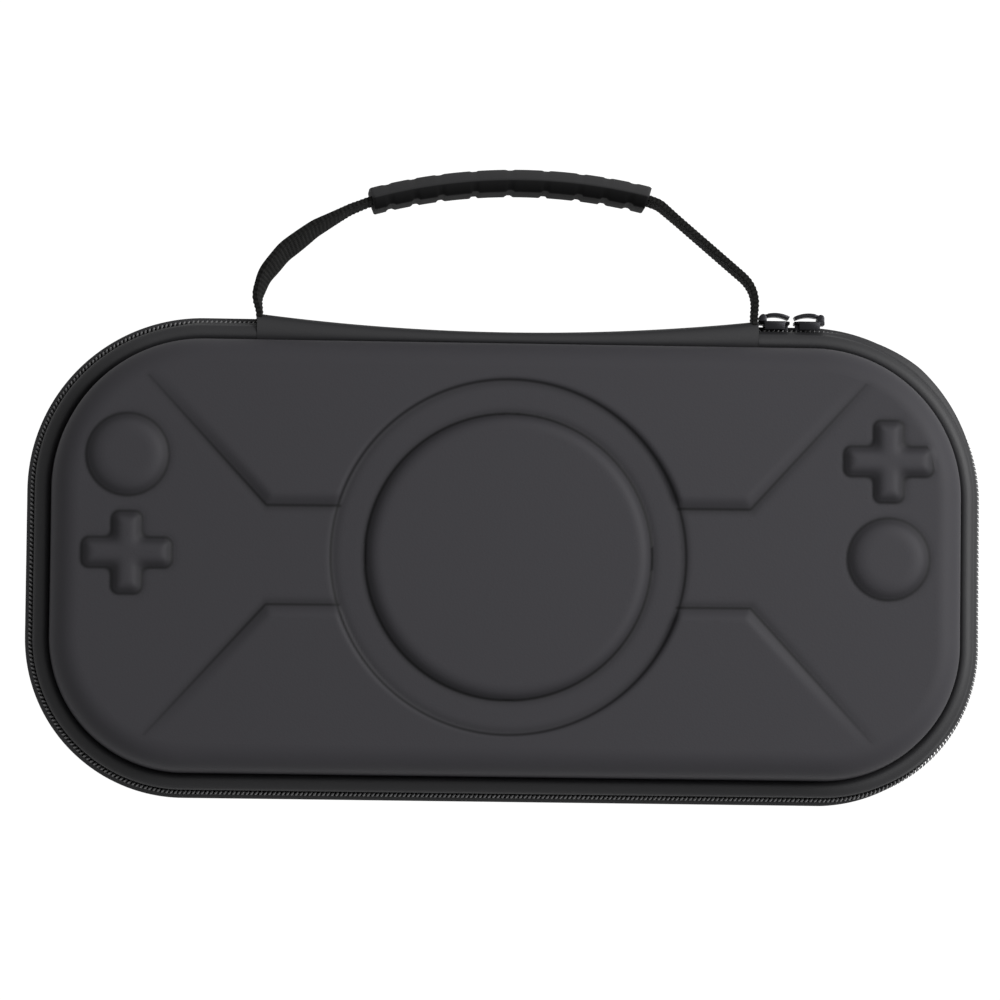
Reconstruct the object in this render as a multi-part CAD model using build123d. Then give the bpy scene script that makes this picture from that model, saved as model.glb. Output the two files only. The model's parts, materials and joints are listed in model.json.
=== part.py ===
from build123d import *
import math
import os

os.makedirs("parts", exist_ok=True)

# Case size over the zip, in millimetres
SEAM_WIDTH = 300.0
SEAM_HEIGHT = 151.0
BOTTOM_CORNER_R = 50.0
BACK_DEPTH = 27.0
FACE_Z = 50.0

# Moulded foam shells
WALL = 3.5
WALL_INSET = 7.5
DRAFT_DEG = 3.0
EDGE_ROUND = 8.0
EDGE_BANDS = 3
INNER_ROUND = 5.0
INNER_BANDS = 1
RIM_GAP = 0.3

# Raised and sunk pattern on the lid
DISC_R = 45.2
DISC_TOP = 2.0
DISC_RIM = 3.6
RING_R = 55.2
RING_DEPTH = 0.5
RING_BEVEL = 1.8
PANEL_RISE = 1.7
PANEL_BEVEL = 2.0
NECK_HALF_X = 75.4
NECK_HALF_Y = 15.7
PANEL_END_IN_X = 33.5
PANEL_END_IN_Y = 15.5
BUTTON_R = 12.8
BUTTON_RISE = 2.2
BUTTON_RIM = 2.0
RIM_BANDS = 1
CONTROL_IN_X = 31.0
CONTROL_HIGH_Y = 30.8
CONTROL_LOW_Y = 0.3
CROSS_WIDTH = 28.0
CROSS_HEIGHT = 25.7
CROSS_ARM = 9.4
CROSS_RISE = 2.0
CROSS_RIM = 1.4
CROSS_CORNER = 1.8

# Zip tapes and coil
TAPE = 0.8
TAPE_INSET = 2.0
TAPE_FLAT = 4.0
TAPE_FOOT = 6.0
COIL_DEPTH = 1.95
COIL_HALF = 2.2
COIL_GAP = 0.06
TAPE_GAP = 0.35

# Fabric spine between the handle ends
SPINE_HALF_X = 76.5
SPINE_END_RISE = 0.3
SPINE_MID_DROP = 4.1
SPINE_FABRIC = 0.9
SPINE_BEVEL = 1.8

# Zip sliders
SLIDER_LENGTH = 9.6
SLIDER_HALF_W = 4.2
SLIDER_PLATE = 0.9
SLIDER_LIP = 1.0
SLIDER_LIP_DROP = 1.75
SLIDER_LIFT = 0.35
INNER_PLATE = 1.1
INNER_PLATE_HALF = 3.0
INNER_PLATE_INSET = 3.3
POST_LENGTH = 1.4
POST_HALF = 0.7
POST_GAP = 0.4
SLIDER_END_GAP = 0.3
SLIDER_GAP = 1.4

# Pull tabs on the sliders
PIVOT_LIFT = 2.45
PIVOT_BACK = 3.6
PIN_R = 0.5
EYE_BORE_R = 0.58
EYE_R = 1.1
EYE_HALF = 1.4
EAR = 0.9
EAR_R = 1.15
EAR_PLAY = 0.25
PULL_THICK = 1.1
PULL_HALF = 2.6
PULL_REACH = 8.2
PULL_ARCH = 0.95

# Handle webbing and grip
STRAP = 2.0
STRAP_HALF = 9.0
STRAP_ROOT_HALF = 4.7
STRAP_SIDE_GAP = 0.2
STRAP_ROOT_DEPTH = 4.7
STRAP_WIDEN_START = 1.5
STRAP_WIDEN_END = 18.5
GRIP_ARC_R = 173.0
GRIP_APEX_RISE = 42.9
GRIP_HALF_CHORD = 43.4
GRIP_HALF_HIGH = 4.1
GRIP_OUT_HALF = 7.0
GRIP_MID_HALF = 12.0
GRIP_IN_HALF = 7.5
GRIP_SLOT_PLAY = 0.2
NOTCH_WIDTH = 3.0
NOTCH_DEPTH = 1.0
DIP_DEPTH = 0.4
GRIP_LENGTHS = 10
NOTCH_X = (0.0, 11.2, 22.0, 30.3, 38.4)
RIGHT_ARM_LENGTH = 2.8
RIGHT_KNEE_RISE = 8.7
RIGHT_BEND_R = (10.0, 17.0)
LEFT_ARM_LENGTH = 8.9
LEFT_KNEE_OUT = 1.8
LEFT_KNEE_RISE = 15.2
LEFT_ROOT_RISE = 1.3
LEFT_BEND_R = (42.0, 13.0, 14.0)

# Lining bindings, net pocket and console straps
BINDING = 0.9
BINDING_HIGH = 7.0
BINDING_GAP = 0.03
BINDING_SET = 0.5
NET = 0.8
NET_Z = 37.0
NET_MOUTH_IN = 37.5
HEM_WIDE = 9.0
HEM_THICK = 1.8
POCKET_TAPE_WIDE = 7.0
POCKET_TAPE = 1.0
BAND_WIDE = 38.0
BAND = 1.2
BAND_GAP = 0.6
BAND_LOW_Z = 18.4
BAND_TAB = 9.0
BAND_REACH = 24.0
PATCH = 1.0
PATCH_LONG = 42.0
PATCH_INSET = 3.0
PATCH_GAP = 0.05

DRAFT = math.tan(math.radians(DRAFT_DEG))
HALF_W = SEAM_WIDTH / 2
HALF_H = SEAM_HEIGHT / 2

# Places along the top edge, outward from the spine: webbing end, tape end, then the two sliders
STRAP_ROOT_X = SPINE_HALF_X + STRAP_SIDE_GAP + STRAP / 2
TAPE_END_X = STRAP_ROOT_X + STRAP / 2 + STRAP_SIDE_GAP
SLIDER_LEFT_X = TAPE_END_X + SLIDER_END_GAP + SLIDER_LENGTH / 2
SLIDER_RIGHT_X = SLIDER_LEFT_X + SLIDER_LENGTH + SLIDER_GAP
TOP_CORNER_R = HALF_W - SLIDER_RIGHT_X

# Places that follow the case size
CONTROL_X = HALF_W - CONTROL_IN_X
PANEL_END_X = HALF_W - PANEL_END_IN_X
PANEL_END_Y = HALF_H - PANEL_END_IN_Y
GRIP_APEX_Y = HALF_H + GRIP_APEX_RISE
STRAP_ROOT_Y = HALF_H - STRAP_ROOT_DEPTH
NET_MOUTH_Y = -(HALF_H - NET_MOUTH_IN)
lid_rim = BACK_DEPTH + RIM_GAP
BIG = 2 * SEAM_WIDTH


# Case outline moved inward by an inset, as a face at height z
def outline(inset, z):
    hw = HALF_W - inset
    hh = HALF_H - inset
    rt = TOP_CORNER_R - inset
    rb = BOTTOM_CORNER_R - inset
    edges = [
        Line((hw - rt, hh), (-(hw - rt), hh)),
        CenterArc((-(hw - rt), hh - rt), rt, 90, 90),
        Line((-hw, hh - rt), (-hw, -(hh - rb))),
        CenterArc((-(hw - rb), -(hh - rb)), rb, 180, 90),
        Line((-(hw - rb), -hh), (hw - rb, -hh)),
        CenterArc((hw - rb, -(hh - rb)), rb, 270, 90),
        Line((hw, -(hh - rb)), (hw, hh - rt)),
        CenterArc((hw - rt, hh - rt), rt, 0, 90),
    ]
    return Pos(0, 0, z) * make_face(edges)


# Solid between two outlines at two heights
def frustum(inset_a, z_a, inset_b, z_b):
    slope = math.degrees(math.atan2(inset_b - inset_a, z_b - z_a))
    return extrude(outline(inset_a, z_a), z_b - z_a, taper=slope)


# Steps of a quarter round, each as inward and upward places of its start and end
def quarter_round(radius, bands):
    turn = math.pi / 2 / bands
    stops = [(radius * (1 - math.cos(i * turn)), radius * math.sin(i * turn)) for i in range(bands + 1)]
    return zip(stops[:-1], stops[1:])


# Drafted block rising from the split, its far edge rounded in a few tapered bands
def moulded(inset, depth, edge, bands):
    shoulder = lid_rim + depth - edge
    shoulder_inset = inset + (depth - edge) * DRAFT
    body = frustum(inset, lid_rim, shoulder_inset, shoulder)
    for (in_a, up_a), (in_b, up_b) in quarter_round(edge, bands):
        body += frustum(shoulder_inset + in_a, shoulder + up_a, shoulder_inset + in_b, shoulder + up_b)
    return body


# Box given by its limits
def block(x0, x1, y0, y1, z0, z1):
    middle = Pos((x0 + x1) / 2, (y0 + y1) / 2, (z0 + z1) / 2)
    return middle * Box(x1 - x0, y1 - y0, z1 - z0)


# Keep the single solid of a result
def one(shape):
    found = shape.solids()
    if len(found) != 1:
        raise ValueError(f"expected one solid, found {len(found)}")
    return found[0]


# Same shape on the other side of the split plane
def flip(shape):
    return mirror(shape, about=Plane.XY.offset(BACK_DEPTH))


# Lid: drafted shell with a rounded edge
lid_depth = FACE_Z - lid_rim
lid_body = moulded(WALL_INSET, lid_depth, EDGE_ROUND, EDGE_BANDS)
lid_cavity = moulded(WALL_INSET + WALL, lid_depth - WALL, INNER_ROUND, INNER_BANDS)


# Raised panel above or below the disc, sloping down to the lid edge
def panel(side):
    foot = [
        (-PANEL_END_X, side * PANEL_END_Y),
        (PANEL_END_X, side * PANEL_END_Y),
        (NECK_HALF_X, side * NECK_HALF_Y),
        (-NECK_HALF_X, side * NECK_HALF_Y),
    ]
    head = [
        (-PANEL_END_X + PANEL_BEVEL, side * PANEL_END_Y),
        (PANEL_END_X - PANEL_BEVEL, side * PANEL_END_Y),
        (NECK_HALF_X - PANEL_BEVEL, side * (NECK_HALF_Y + PANEL_BEVEL)),
        (-NECK_HALF_X + PANEL_BEVEL, side * (NECK_HALF_Y + PANEL_BEVEL)),
    ]
    low = Pos(0, 0, FACE_Z - 0.2) * make_face(Polyline(*foot, close=True))
    high = Pos(0, 0, FACE_Z + PANEL_RISE + 0.2) * make_face(Polyline(*head, close=True))
    prism = loft([low, high], ruled=True)
    run = PANEL_END_Y - NECK_HALF_Y
    tilt = math.degrees(math.atan2(PANEL_RISE, run))
    lift = Pos(0, side * PANEL_END_Y, FACE_Z) * Rot(-side * tilt, 0, 0)
    cover = lift * Box(BIG, BIG, FACE_Z, align=(Align.CENTER, Align.CENTER, Align.MIN))
    return prism - cover


# Round raised boss with a soft rim, standing on a level floor
def boss(radius, floor, top, rim):
    shoulder = top - rim
    body = Pos(0, 0, (floor + shoulder) / 2) * Cylinder(radius, shoulder - floor)
    for (in_a, up_a), (in_b, up_b) in quarter_round(rim, RIM_BANDS):
        middle = Pos(0, 0, shoulder + (up_a + up_b) / 2)
        body += middle * Cone(radius - in_a, radius - in_b, up_b - up_a)
    return body


# Raised cross with its outer corners taken off
def cross(floor, top):
    shape = Rectangle(CROSS_WIDTH, CROSS_ARM) + Rectangle(CROSS_ARM, CROSS_HEIGHT)
    ends = [v for v in shape.vertices() if max(abs(v.X), abs(v.Y)) > CROSS_ARM]
    shape = chamfer(ends, CROSS_CORNER)
    body = Pos(0, 0, floor) * extrude(shape, top - floor)
    return chamfer(body.edges().group_by(Axis.Z)[-1], CROSS_RIM)


relief = lid_body + panel(1) + panel(-1)
ring_floor = FACE_Z - RING_DEPTH
ring_high = RING_DEPTH + PANEL_RISE + 1.0
ring_top_r = RING_R + RING_BEVEL * ring_high / (RING_DEPTH + PANEL_RISE)
relief -= Pos(0, 0, ring_floor + ring_high / 2) * Cone(RING_R, ring_top_r, ring_high)
disc_root = ring_floor - 2.0
relief += boss(DISC_R, disc_root, FACE_Z + DISC_TOP, DISC_RIM)
for spot in ((-CONTROL_X, CONTROL_HIGH_Y), (CONTROL_X, CONTROL_LOW_Y)):
    relief += Pos(*spot) * boss(BUTTON_R, FACE_Z - 1.0, FACE_Z + BUTTON_RISE, BUTTON_RIM)
for spot in ((-CONTROL_X, CONTROL_LOW_Y), (CONTROL_X, CONTROL_HIGH_Y)):
    relief += Pos(*spot) * cross(FACE_Z - 1.0, FACE_Z + CROSS_RISE)
front_shell = one(relief - lid_cavity)

# Back shell: plain and flat underneath, drawn as a lid and flipped
back_depth = BACK_DEPTH - RIM_GAP
back_body = moulded(WALL_INSET, back_depth, EDGE_ROUND, EDGE_BANDS)
back_cavity = moulded(WALL_INSET + WALL, back_depth - WALL, INNER_ROUND, INNER_BANDS)
back_shell = one(flip(back_body - back_cavity))

# Clear room for the spine and handle ends, and for the posts of the sliders
spine_room = block(-TAPE_END_X, TAPE_END_X, 0, BIG, 0, BIG)
post_left = SLIDER_LEFT_X + SLIDER_LENGTH / 2 - POST_LENGTH
post_right = SLIDER_RIGHT_X - SLIDER_LENGTH / 2 + POST_LENGTH
post_room = block(
    post_left - POST_GAP,
    post_right + POST_GAP,
    0,
    BIG,
    BACK_DEPTH - POST_HALF - POST_GAP,
    BACK_DEPTH + POST_HALF + POST_GAP,
)

# Zip tape on the lid: upright beside the coil, then sloping in to the wall
tape_low = BACK_DEPTH + TAPE_GAP
tape_bend = BACK_DEPTH + TAPE_FLAT
tape_foot = BACK_DEPTH + TAPE_FOOT
foot_inset = WALL_INSET + (tape_foot - lid_rim) * DRAFT - 0.05
tape_skin = frustum(TAPE_INSET, tape_low, TAPE_INSET, tape_bend)
tape_skin += frustum(TAPE_INSET, tape_bend, foot_inset, tape_foot)
tape_hollow = frustum(TAPE_INSET + TAPE, tape_low, TAPE_INSET + TAPE, tape_bend - 0.6 * TAPE)
tape_hollow += frustum(TAPE_INSET + TAPE, tape_bend - 0.6 * TAPE, foot_inset, tape_foot - TAPE)
tape_core = frustum(foot_inset, tape_low, foot_inset, tape_foot)
zip_tape_front = one(tape_skin - tape_hollow - tape_core - spine_room - post_room)
zip_tape_back = one(flip(zip_tape_front))

# Zip coil on the lid: a bead round the outside of the tape
coil_low = BACK_DEPTH + COIL_GAP
coil_high = BACK_DEPTH + COIL_HALF
bead = frustum(0, coil_low, 0, coil_high)
bead -= frustum(COIL_DEPTH, coil_low, COIL_DEPTH, coil_high)
zip_coil_front = one(bead - spine_room - post_room)
zip_coil_back = one(flip(zip_coil_front))

# Fabric spine, drawn up at both ends by the handle
spine_root = HALF_H - WALL_INSET + 0.05
spine_end_y = HALF_H + SPINE_END_RISE
spine_mid_y = HALF_H - SPINE_MID_DROP


def spine_plan(trim):
    sides = [
        Line((-SPINE_HALF_X, spine_end_y - trim), (-SPINE_HALF_X, spine_root)),
        Line((-SPINE_HALF_X, spine_root), (SPINE_HALF_X, spine_root)),
        Line((SPINE_HALF_X, spine_root), (SPINE_HALF_X, spine_end_y - trim)),
        ThreePointArc(
            (SPINE_HALF_X, spine_end_y - trim),
            (0, spine_mid_y - trim),
            (-SPINE_HALF_X, spine_end_y - trim),
        ),
    ]
    return make_face(sides)


spine_outer = Pos(0, 0, BACK_DEPTH - TAPE_FOOT) * extrude(spine_plan(0), 2 * TAPE_FOOT)
spine_edges = spine_outer.edges().filter_by(GeomType.CIRCLE)
spine_outer = chamfer(spine_edges, SPINE_BEVEL)
spine_inner_half = TAPE_FOOT - SPINE_FABRIC
spine_inner = Pos(0, 0, BACK_DEPTH - spine_inner_half) * extrude(
    spine_plan(SPINE_FABRIC), 2 * spine_inner_half
)
spine_inner_edges = spine_inner.edges().filter_by(GeomType.CIRCLE)
spine_inner = chamfer(spine_inner_edges, SPINE_BEVEL - SPINE_FABRIC / 2)
spine_strip = one(spine_outer - spine_inner)


# Zip slider with its nose toward +X, standing on the coil line at the origin
def slider():
    half = SLIDER_LENGTH / 2
    top = SLIDER_LIFT + SLIDER_PLATE
    plate = block(-half, half, SLIDER_LIFT, top, -SLIDER_HALF_W, SLIDER_HALF_W)
    plate = chamfer(plate.edges().filter_by(Axis.Y), 1.6)
    body = plate
    for side in (-1, 1):
        z0 = side * (SLIDER_HALF_W - SLIDER_LIP)
        z1 = side * SLIDER_HALF_W
        lip_end = half - 1.6
        body += block(-lip_end, lip_end, top - SLIDER_LIP_DROP - SLIDER_PLATE, top, min(z0, z1), max(z0, z1))
    inner_top = -INNER_PLATE_INSET
    inner_half = half - 0.4
    inner = block(
        -inner_half, inner_half, inner_top - INNER_PLATE, inner_top, -INNER_PLATE_HALF, INNER_PLATE_HALF
    )
    body += chamfer(inner.edges().filter_by(Axis.Y), 1.2)
    post_end = half - POST_GAP
    body += block(post_end - POST_LENGTH, post_end, inner_top - 0.5, top - 0.2, -POST_HALF, POST_HALF)
    for side in (-1, 1):
        z0 = side * (EYE_HALF + EAR_PLAY)
        z1 = side * (EYE_HALF + EAR_PLAY + EAR)
        ear = Pos(-PIVOT_BACK, PIVOT_LIFT, (z0 + z1) / 2) * Cylinder(EAR_R, EAR)
        ear += block(
            -PIVOT_BACK - EAR_R, -PIVOT_BACK + EAR_R, top - 0.2, PIVOT_LIFT, min(z0, z1), max(z0, z1)
        )
        body += ear
    pin_long = 2 * (EYE_HALF + EAR_PLAY + EAR / 2)
    body += Pos(-PIVOT_BACK, PIVOT_LIFT, 0) * Cylinder(PIN_R, pin_long)
    return body


# Pull tab: an eye on the pin and an arched tongue toward +X
def pull():
    eye = Pos(-PIVOT_BACK, PIVOT_LIFT, 0) * Cylinder(EYE_R, 2 * EYE_HALF)
    neck_x = -PIVOT_BACK + EAR_R + 0.35
    start = (-PIVOT_BACK + 0.4, PIVOT_LIFT + 0.4)
    end = (-PIVOT_BACK + PULL_REACH, PIVOT_LIFT - 0.1)
    crest = ((start[0] + end[0]) / 2, PIVOT_LIFT + PULL_ARCH)
    spine = ThreePointArc(start, crest, end)
    tongue = extrude(trace(spine, PULL_THICK), PULL_HALF, both=True)
    narrow = block(-BIG, neck_x, 0, BIG, EYE_HALF, BIG) + block(-BIG, neck_x, 0, BIG, -BIG, -EYE_HALF)
    body = eye + (tongue - narrow)
    return body - Pos(-PIVOT_BACK, PIVOT_LIFT, 0) * Cylinder(EYE_BORE_R, 4 * EYE_HALF)


place_left = Pos(SLIDER_LEFT_X, HALF_H, BACK_DEPTH)
place_right = Pos(SLIDER_RIGHT_X, HALF_H, BACK_DEPTH)
slider_shape = slider()
pull_shape = pull()
zip_slider_left = one(place_left * slider_shape)
zip_pull_left = one(place_left * pull_shape)
zip_slider_right = one(place_right * mirror(slider_shape, about=Plane.YZ))
zip_pull_right = one(place_right * mirror(pull_shape, about=Plane.YZ))

# Handle path: from the right root, through the grip, to the left root
grip_centre_y = GRIP_APEX_Y - GRIP_ARC_R
grip_half_angle = math.degrees(math.asin(GRIP_HALF_CHORD / GRIP_ARC_R))
grip_end_y = grip_centre_y + math.sqrt(GRIP_ARC_R**2 - GRIP_HALF_CHORD**2)


# Rounded run of webbing between two points, by a list of corners and bend radii
def webbing_path(points, radii):
    edges = []
    last = Vector(*points[0])
    for i, radius in enumerate(radii, start=1):
        before = Vector(*points[i - 1])
        corner = Vector(*points[i])
        after = Vector(*points[i + 1])
        come = (corner - before).normalized()
        go = (after - corner).normalized()
        turn = math.acos(max(-1, min(1, come.dot(go))))
        back = radius * math.tan(turn / 2)
        a = corner - come * back
        b = corner + go * back
        edges.append(Line(last, a))
        edges.append(TangentArc(a, b, tangent=come))
        last = b
    edges.append(Line(last, Vector(*points[-1])))
    return edges


grip_slope = GRIP_HALF_CHORD / (grip_end_y - grip_centre_y)
right_points = [
    (GRIP_HALF_CHORD, grip_end_y),
    (GRIP_HALF_CHORD + RIGHT_ARM_LENGTH, grip_end_y - RIGHT_ARM_LENGTH * grip_slope),
    (STRAP_ROOT_X, HALF_H + RIGHT_KNEE_RISE),
    (STRAP_ROOT_X, STRAP_ROOT_Y),
]
left_points = [
    (-GRIP_HALF_CHORD, grip_end_y),
    (-GRIP_HALF_CHORD - LEFT_ARM_LENGTH, grip_end_y - LEFT_ARM_LENGTH * grip_slope),
    (-STRAP_ROOT_X - LEFT_KNEE_OUT, HALF_H + LEFT_KNEE_RISE),
    (-STRAP_ROOT_X, HALF_H + LEFT_ROOT_RISE),
    (-STRAP_ROOT_X, STRAP_ROOT_Y),
]
path_edges = webbing_path(right_points, RIGHT_BEND_R)
path_edges += webbing_path(left_points, LEFT_BEND_R)
path_edges.append(CenterArc((0, grip_centre_y), GRIP_ARC_R, 90 - grip_half_angle, 2 * grip_half_angle))
strap_face = Sketch() + [trace(edge, STRAP) for edge in path_edges]
strap_body = Pos(0, 0, BACK_DEPTH) * extrude(strap_face, STRAP_HALF, both=True)
widen_low = HALF_H + STRAP_WIDEN_START
widen_high = HALF_H + STRAP_WIDEN_END
strap_shape = Polyline(
    (0, -STRAP_ROOT_HALF),
    (widen_low, -STRAP_ROOT_HALF),
    (widen_high, -STRAP_HALF),
    (BIG, -STRAP_HALF),
    (BIG, STRAP_HALF),
    (widen_high, STRAP_HALF),
    (widen_low, STRAP_ROOT_HALF),
    (0, STRAP_ROOT_HALF),
    close=True,
)
strap_limit = Pos(0, 0, BACK_DEPTH) * extrude(Plane.YZ * make_face(strap_shape), BIG, both=True)
handle_strap = one(strap_body & strap_limit)

# Moulded grip: a six-sided section led round the handle arc in short straight lengths
grip_axis = Axis((0, grip_centre_y, BACK_DEPTH), (0, 0, 1))
grip_section = make_face(
    Polyline(
        (GRIP_APEX_Y + GRIP_HALF_HIGH, -GRIP_OUT_HALF),
        (GRIP_APEX_Y + GRIP_HALF_HIGH, GRIP_OUT_HALF),
        (GRIP_APEX_Y, GRIP_MID_HALF),
        (GRIP_APEX_Y - GRIP_HALF_HIGH, GRIP_IN_HALF),
        (GRIP_APEX_Y - GRIP_HALF_HIGH, -GRIP_IN_HALF),
        (GRIP_APEX_Y, -GRIP_MID_HALF),
        close=True,
    )
)
slot_section = Pos(GRIP_APEX_Y, 0) * Rectangle(
    STRAP + 2 * GRIP_SLOT_PLAY, 2 * (STRAP_HALF + GRIP_SLOT_PLAY)
)


def turned(section, half_angle):
    profile = Pos(0, 0, BACK_DEPTH) * (Plane.YZ * section)
    stops = [half_angle * (2 * i / GRIP_LENGTHS - 1) for i in range(GRIP_LENGTHS + 1)]
    return loft([profile.rotate(grip_axis, stop) for stop in stops], ruled=True)


grip = turned(grip_section, grip_half_angle - 0.1)
for x in NOTCH_X:
    angle = math.degrees(math.asin(x / GRIP_ARC_R))
    for side in (-1, 1):
        if x == 0 and side > 0:
            continue
        across = 4 * GRIP_MID_HALF
        notch = Pos(0, GRIP_APEX_Y - GRIP_HALF_HIGH, BACK_DEPTH) * Box(NOTCH_WIDTH, 2 * NOTCH_DEPTH, across)
        dip = Pos(0, GRIP_APEX_Y + GRIP_HALF_HIGH, BACK_DEPTH) * Box(NOTCH_WIDTH, 2 * DIP_DEPTH, across)
        grip -= (notch + dip).rotate(grip_axis, side * angle)
handle_grip = one(grip - turned(slot_section, grip_half_angle + 1.0))


# Upright rings of binding tape on the inside of both walls
binding_z = lid_rim + BINDING_SET
binding_top = binding_z + BINDING_HIGH
binding_inset = WALL_INSET + WALL + BINDING_GAP + (BINDING_SET + BINDING_HIGH) * DRAFT
binding_ring = frustum(binding_inset, binding_z, binding_inset, binding_top)
binding_ring -= frustum(binding_inset + BINDING, binding_z, binding_inset + BINDING, binding_top)
inner_binding_front = one(binding_ring)
inner_binding_back = one(flip(inner_binding_front))

# Net pocket in the lid, with its mouth toward the opening edge
net_inset = WALL_INSET + WALL + (NET_Z - lid_rim) * DRAFT + 0.05
net_field = outline(net_inset, NET_Z) & block(-BIG, BIG, NET_MOUTH_Y, BIG, 0, BIG)
mesh_pocket = one(extrude(net_field, NET))
hem_z = NET_Z - (HEM_THICK - NET) / 2
hem_field = block(-BIG, BIG, NET_MOUTH_Y - HEM_WIDE, NET_MOUTH_Y - 0.05, hem_z, hem_z + HEM_THICK)
hem_inset = net_inset + 0.1
pocket_hem = one(hem_field & frustum(hem_inset, NET_Z - 2, hem_inset, NET_Z + 4))
tape_z = NET_Z - POCKET_TAPE - 0.05
tape_inset = net_inset + 0.02
border = frustum(tape_inset, tape_z, tape_inset, tape_z + POCKET_TAPE)
border -= frustum(tape_inset + POCKET_TAPE_WIDE, tape_z, tape_inset + POCKET_TAPE_WIDE, tape_z + POCKET_TAPE)
pocket_binding = one(border & block(-BIG, BIG, NET_MOUTH_Y + 0.3, BIG, 0, BIG))


# Half of the strap across the console, sewn to the wall by a turned-down tab
band_y = HALF_H - WALL_INSET - WALL - BINDING - BAND_GAP


def console_band(side, z):
    near = side * band_y
    far = -side * BAND_REACH
    run = block(-BAND_WIDE / 2, BAND_WIDE / 2, min(near, far), max(near, far), z, z + BAND)
    tab_in = side * (band_y - BAND)
    low_z = BAND_LOW_Z - BAND_TAB
    tab = block(-BAND_WIDE / 2, BAND_WIDE / 2, min(near, tab_in), max(near, tab_in), low_z, z + BAND)
    return run + tab


patch_half = BAND_WIDE / 2 - PATCH_INSET
loop_z = BAND_LOW_Z + BAND + PATCH_GAP
hook_z = loop_z + PATCH + PATCH_GAP
band_high_z = hook_z + PATCH + PATCH_GAP
console_strap_lower = one(console_band(-1, BAND_LOW_Z))
console_strap_upper = one(console_band(1, band_high_z))
loop_patch = block(-patch_half, patch_half, -PATCH_LONG / 2, PATCH_LONG / 2, loop_z, loop_z + PATCH)
hook_patch = block(-patch_half, patch_half, -PATCH_LONG / 2, PATCH_LONG / 2, hook_z, hook_z + PATCH)

pieces = {
    "front_shell": front_shell,
    "back_shell": back_shell,
    "zip_tape_front": zip_tape_front,
    "zip_tape_back": zip_tape_back,
    "zip_coil_front": zip_coil_front,
    "zip_coil_back": zip_coil_back,
    "spine_strip": spine_strip,
    "zip_slider_left": zip_slider_left,
    "zip_slider_right": zip_slider_right,
    "zip_pull_left": zip_pull_left,
    "zip_pull_right": zip_pull_right,
    "handle_strap": handle_strap,
    "handle_grip": handle_grip,
    "inner_binding_front": inner_binding_front,
    "inner_binding_back": inner_binding_back,
    "mesh_pocket": mesh_pocket,
    "pocket_hem": pocket_hem,
    "pocket_binding": pocket_binding,
    "console_strap_lower": console_strap_lower,
    "console_strap_upper": console_strap_upper,
    "loop_patch": loop_patch,
    "hook_patch": hook_patch,
}
for name, shape in pieces.items():
    export_step(shape, f"parts/{name}.step")
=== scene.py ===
import json
import math
from contextlib import contextmanager

import bmesh
import bpy
import numpy as np
from bpy.props import FloatProperty, FloatVectorProperty, IntProperty, PointerProperty
from mathutils import Matrix, Vector


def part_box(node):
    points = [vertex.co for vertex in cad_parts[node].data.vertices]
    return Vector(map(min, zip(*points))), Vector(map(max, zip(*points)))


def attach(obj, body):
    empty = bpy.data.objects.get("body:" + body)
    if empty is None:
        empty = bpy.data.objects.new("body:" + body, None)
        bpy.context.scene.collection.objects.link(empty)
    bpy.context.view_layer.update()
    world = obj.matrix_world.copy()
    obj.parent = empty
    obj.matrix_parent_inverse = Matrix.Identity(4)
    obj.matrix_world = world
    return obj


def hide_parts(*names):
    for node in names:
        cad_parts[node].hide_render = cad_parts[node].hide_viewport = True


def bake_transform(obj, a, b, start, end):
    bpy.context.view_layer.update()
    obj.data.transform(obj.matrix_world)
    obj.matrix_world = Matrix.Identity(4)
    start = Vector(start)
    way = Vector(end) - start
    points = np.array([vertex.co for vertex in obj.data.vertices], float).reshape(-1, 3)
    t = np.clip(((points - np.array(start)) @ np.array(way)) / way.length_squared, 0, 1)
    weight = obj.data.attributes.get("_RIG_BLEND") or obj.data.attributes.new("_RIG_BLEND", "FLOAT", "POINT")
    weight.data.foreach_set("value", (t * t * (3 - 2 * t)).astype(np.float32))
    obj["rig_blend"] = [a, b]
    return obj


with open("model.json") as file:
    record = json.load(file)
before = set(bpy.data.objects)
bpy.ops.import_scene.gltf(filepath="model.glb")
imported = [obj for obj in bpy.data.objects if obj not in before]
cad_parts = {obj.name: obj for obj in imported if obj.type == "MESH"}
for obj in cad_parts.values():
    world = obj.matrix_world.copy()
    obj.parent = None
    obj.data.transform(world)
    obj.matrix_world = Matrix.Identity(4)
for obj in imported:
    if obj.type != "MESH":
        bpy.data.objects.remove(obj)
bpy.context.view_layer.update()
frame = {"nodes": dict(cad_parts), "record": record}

bl_info = {
    "name": "Zipped Console Case",
    "version": (1, 0, 0),
    "blender": (4, 5, 0),
    "location": "3D View > Sidebar > Case",
    "description": "Dresses the solid parts of a moulded zip case with fabric, zip, handle and lining",
    "category": "Object",
}

MM = 0.001

# Cell sizes of the modelled pieces
LID_CELL = 0.8 * MM
BASE_CELL = 3 * MM
NET_CELL = 3 * MM
TAPE_CELL = 1.5 * MM
GRIP_CELL = 0.5 * MM
# Longest run of cells that one subdivision makes
CELLS_PER_CUT = 100


# Property helpers
def size(name, description, millimetres):
    return FloatProperty(
        name=name, description=description, default=millimetres * MM, unit="LENGTH", precision=5
    )


def angle(name, description, degrees):
    return FloatProperty(
        name=name, description=description, default=math.radians(degrees), unit="ROTATION"
    )


def shade(name, description, red, green, blue):
    linear = [((c / 255 + 0.055) / 1.055) ** 2.4 for c in (red, green, blue)]
    return FloatVectorProperty(
        name=name, description=description, default=linear, subtype="COLOR", size=3, min=0, max=1
    )


def power(name, description, watts):
    return FloatProperty(name=name, description=description, default=watts, unit="POWER")


def half_span(node, axis):
    low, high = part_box(node)
    return (high[axis] - low[axis]) / 2 / MM


def level(node, end):
    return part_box(node)[end].z / MM


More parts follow.
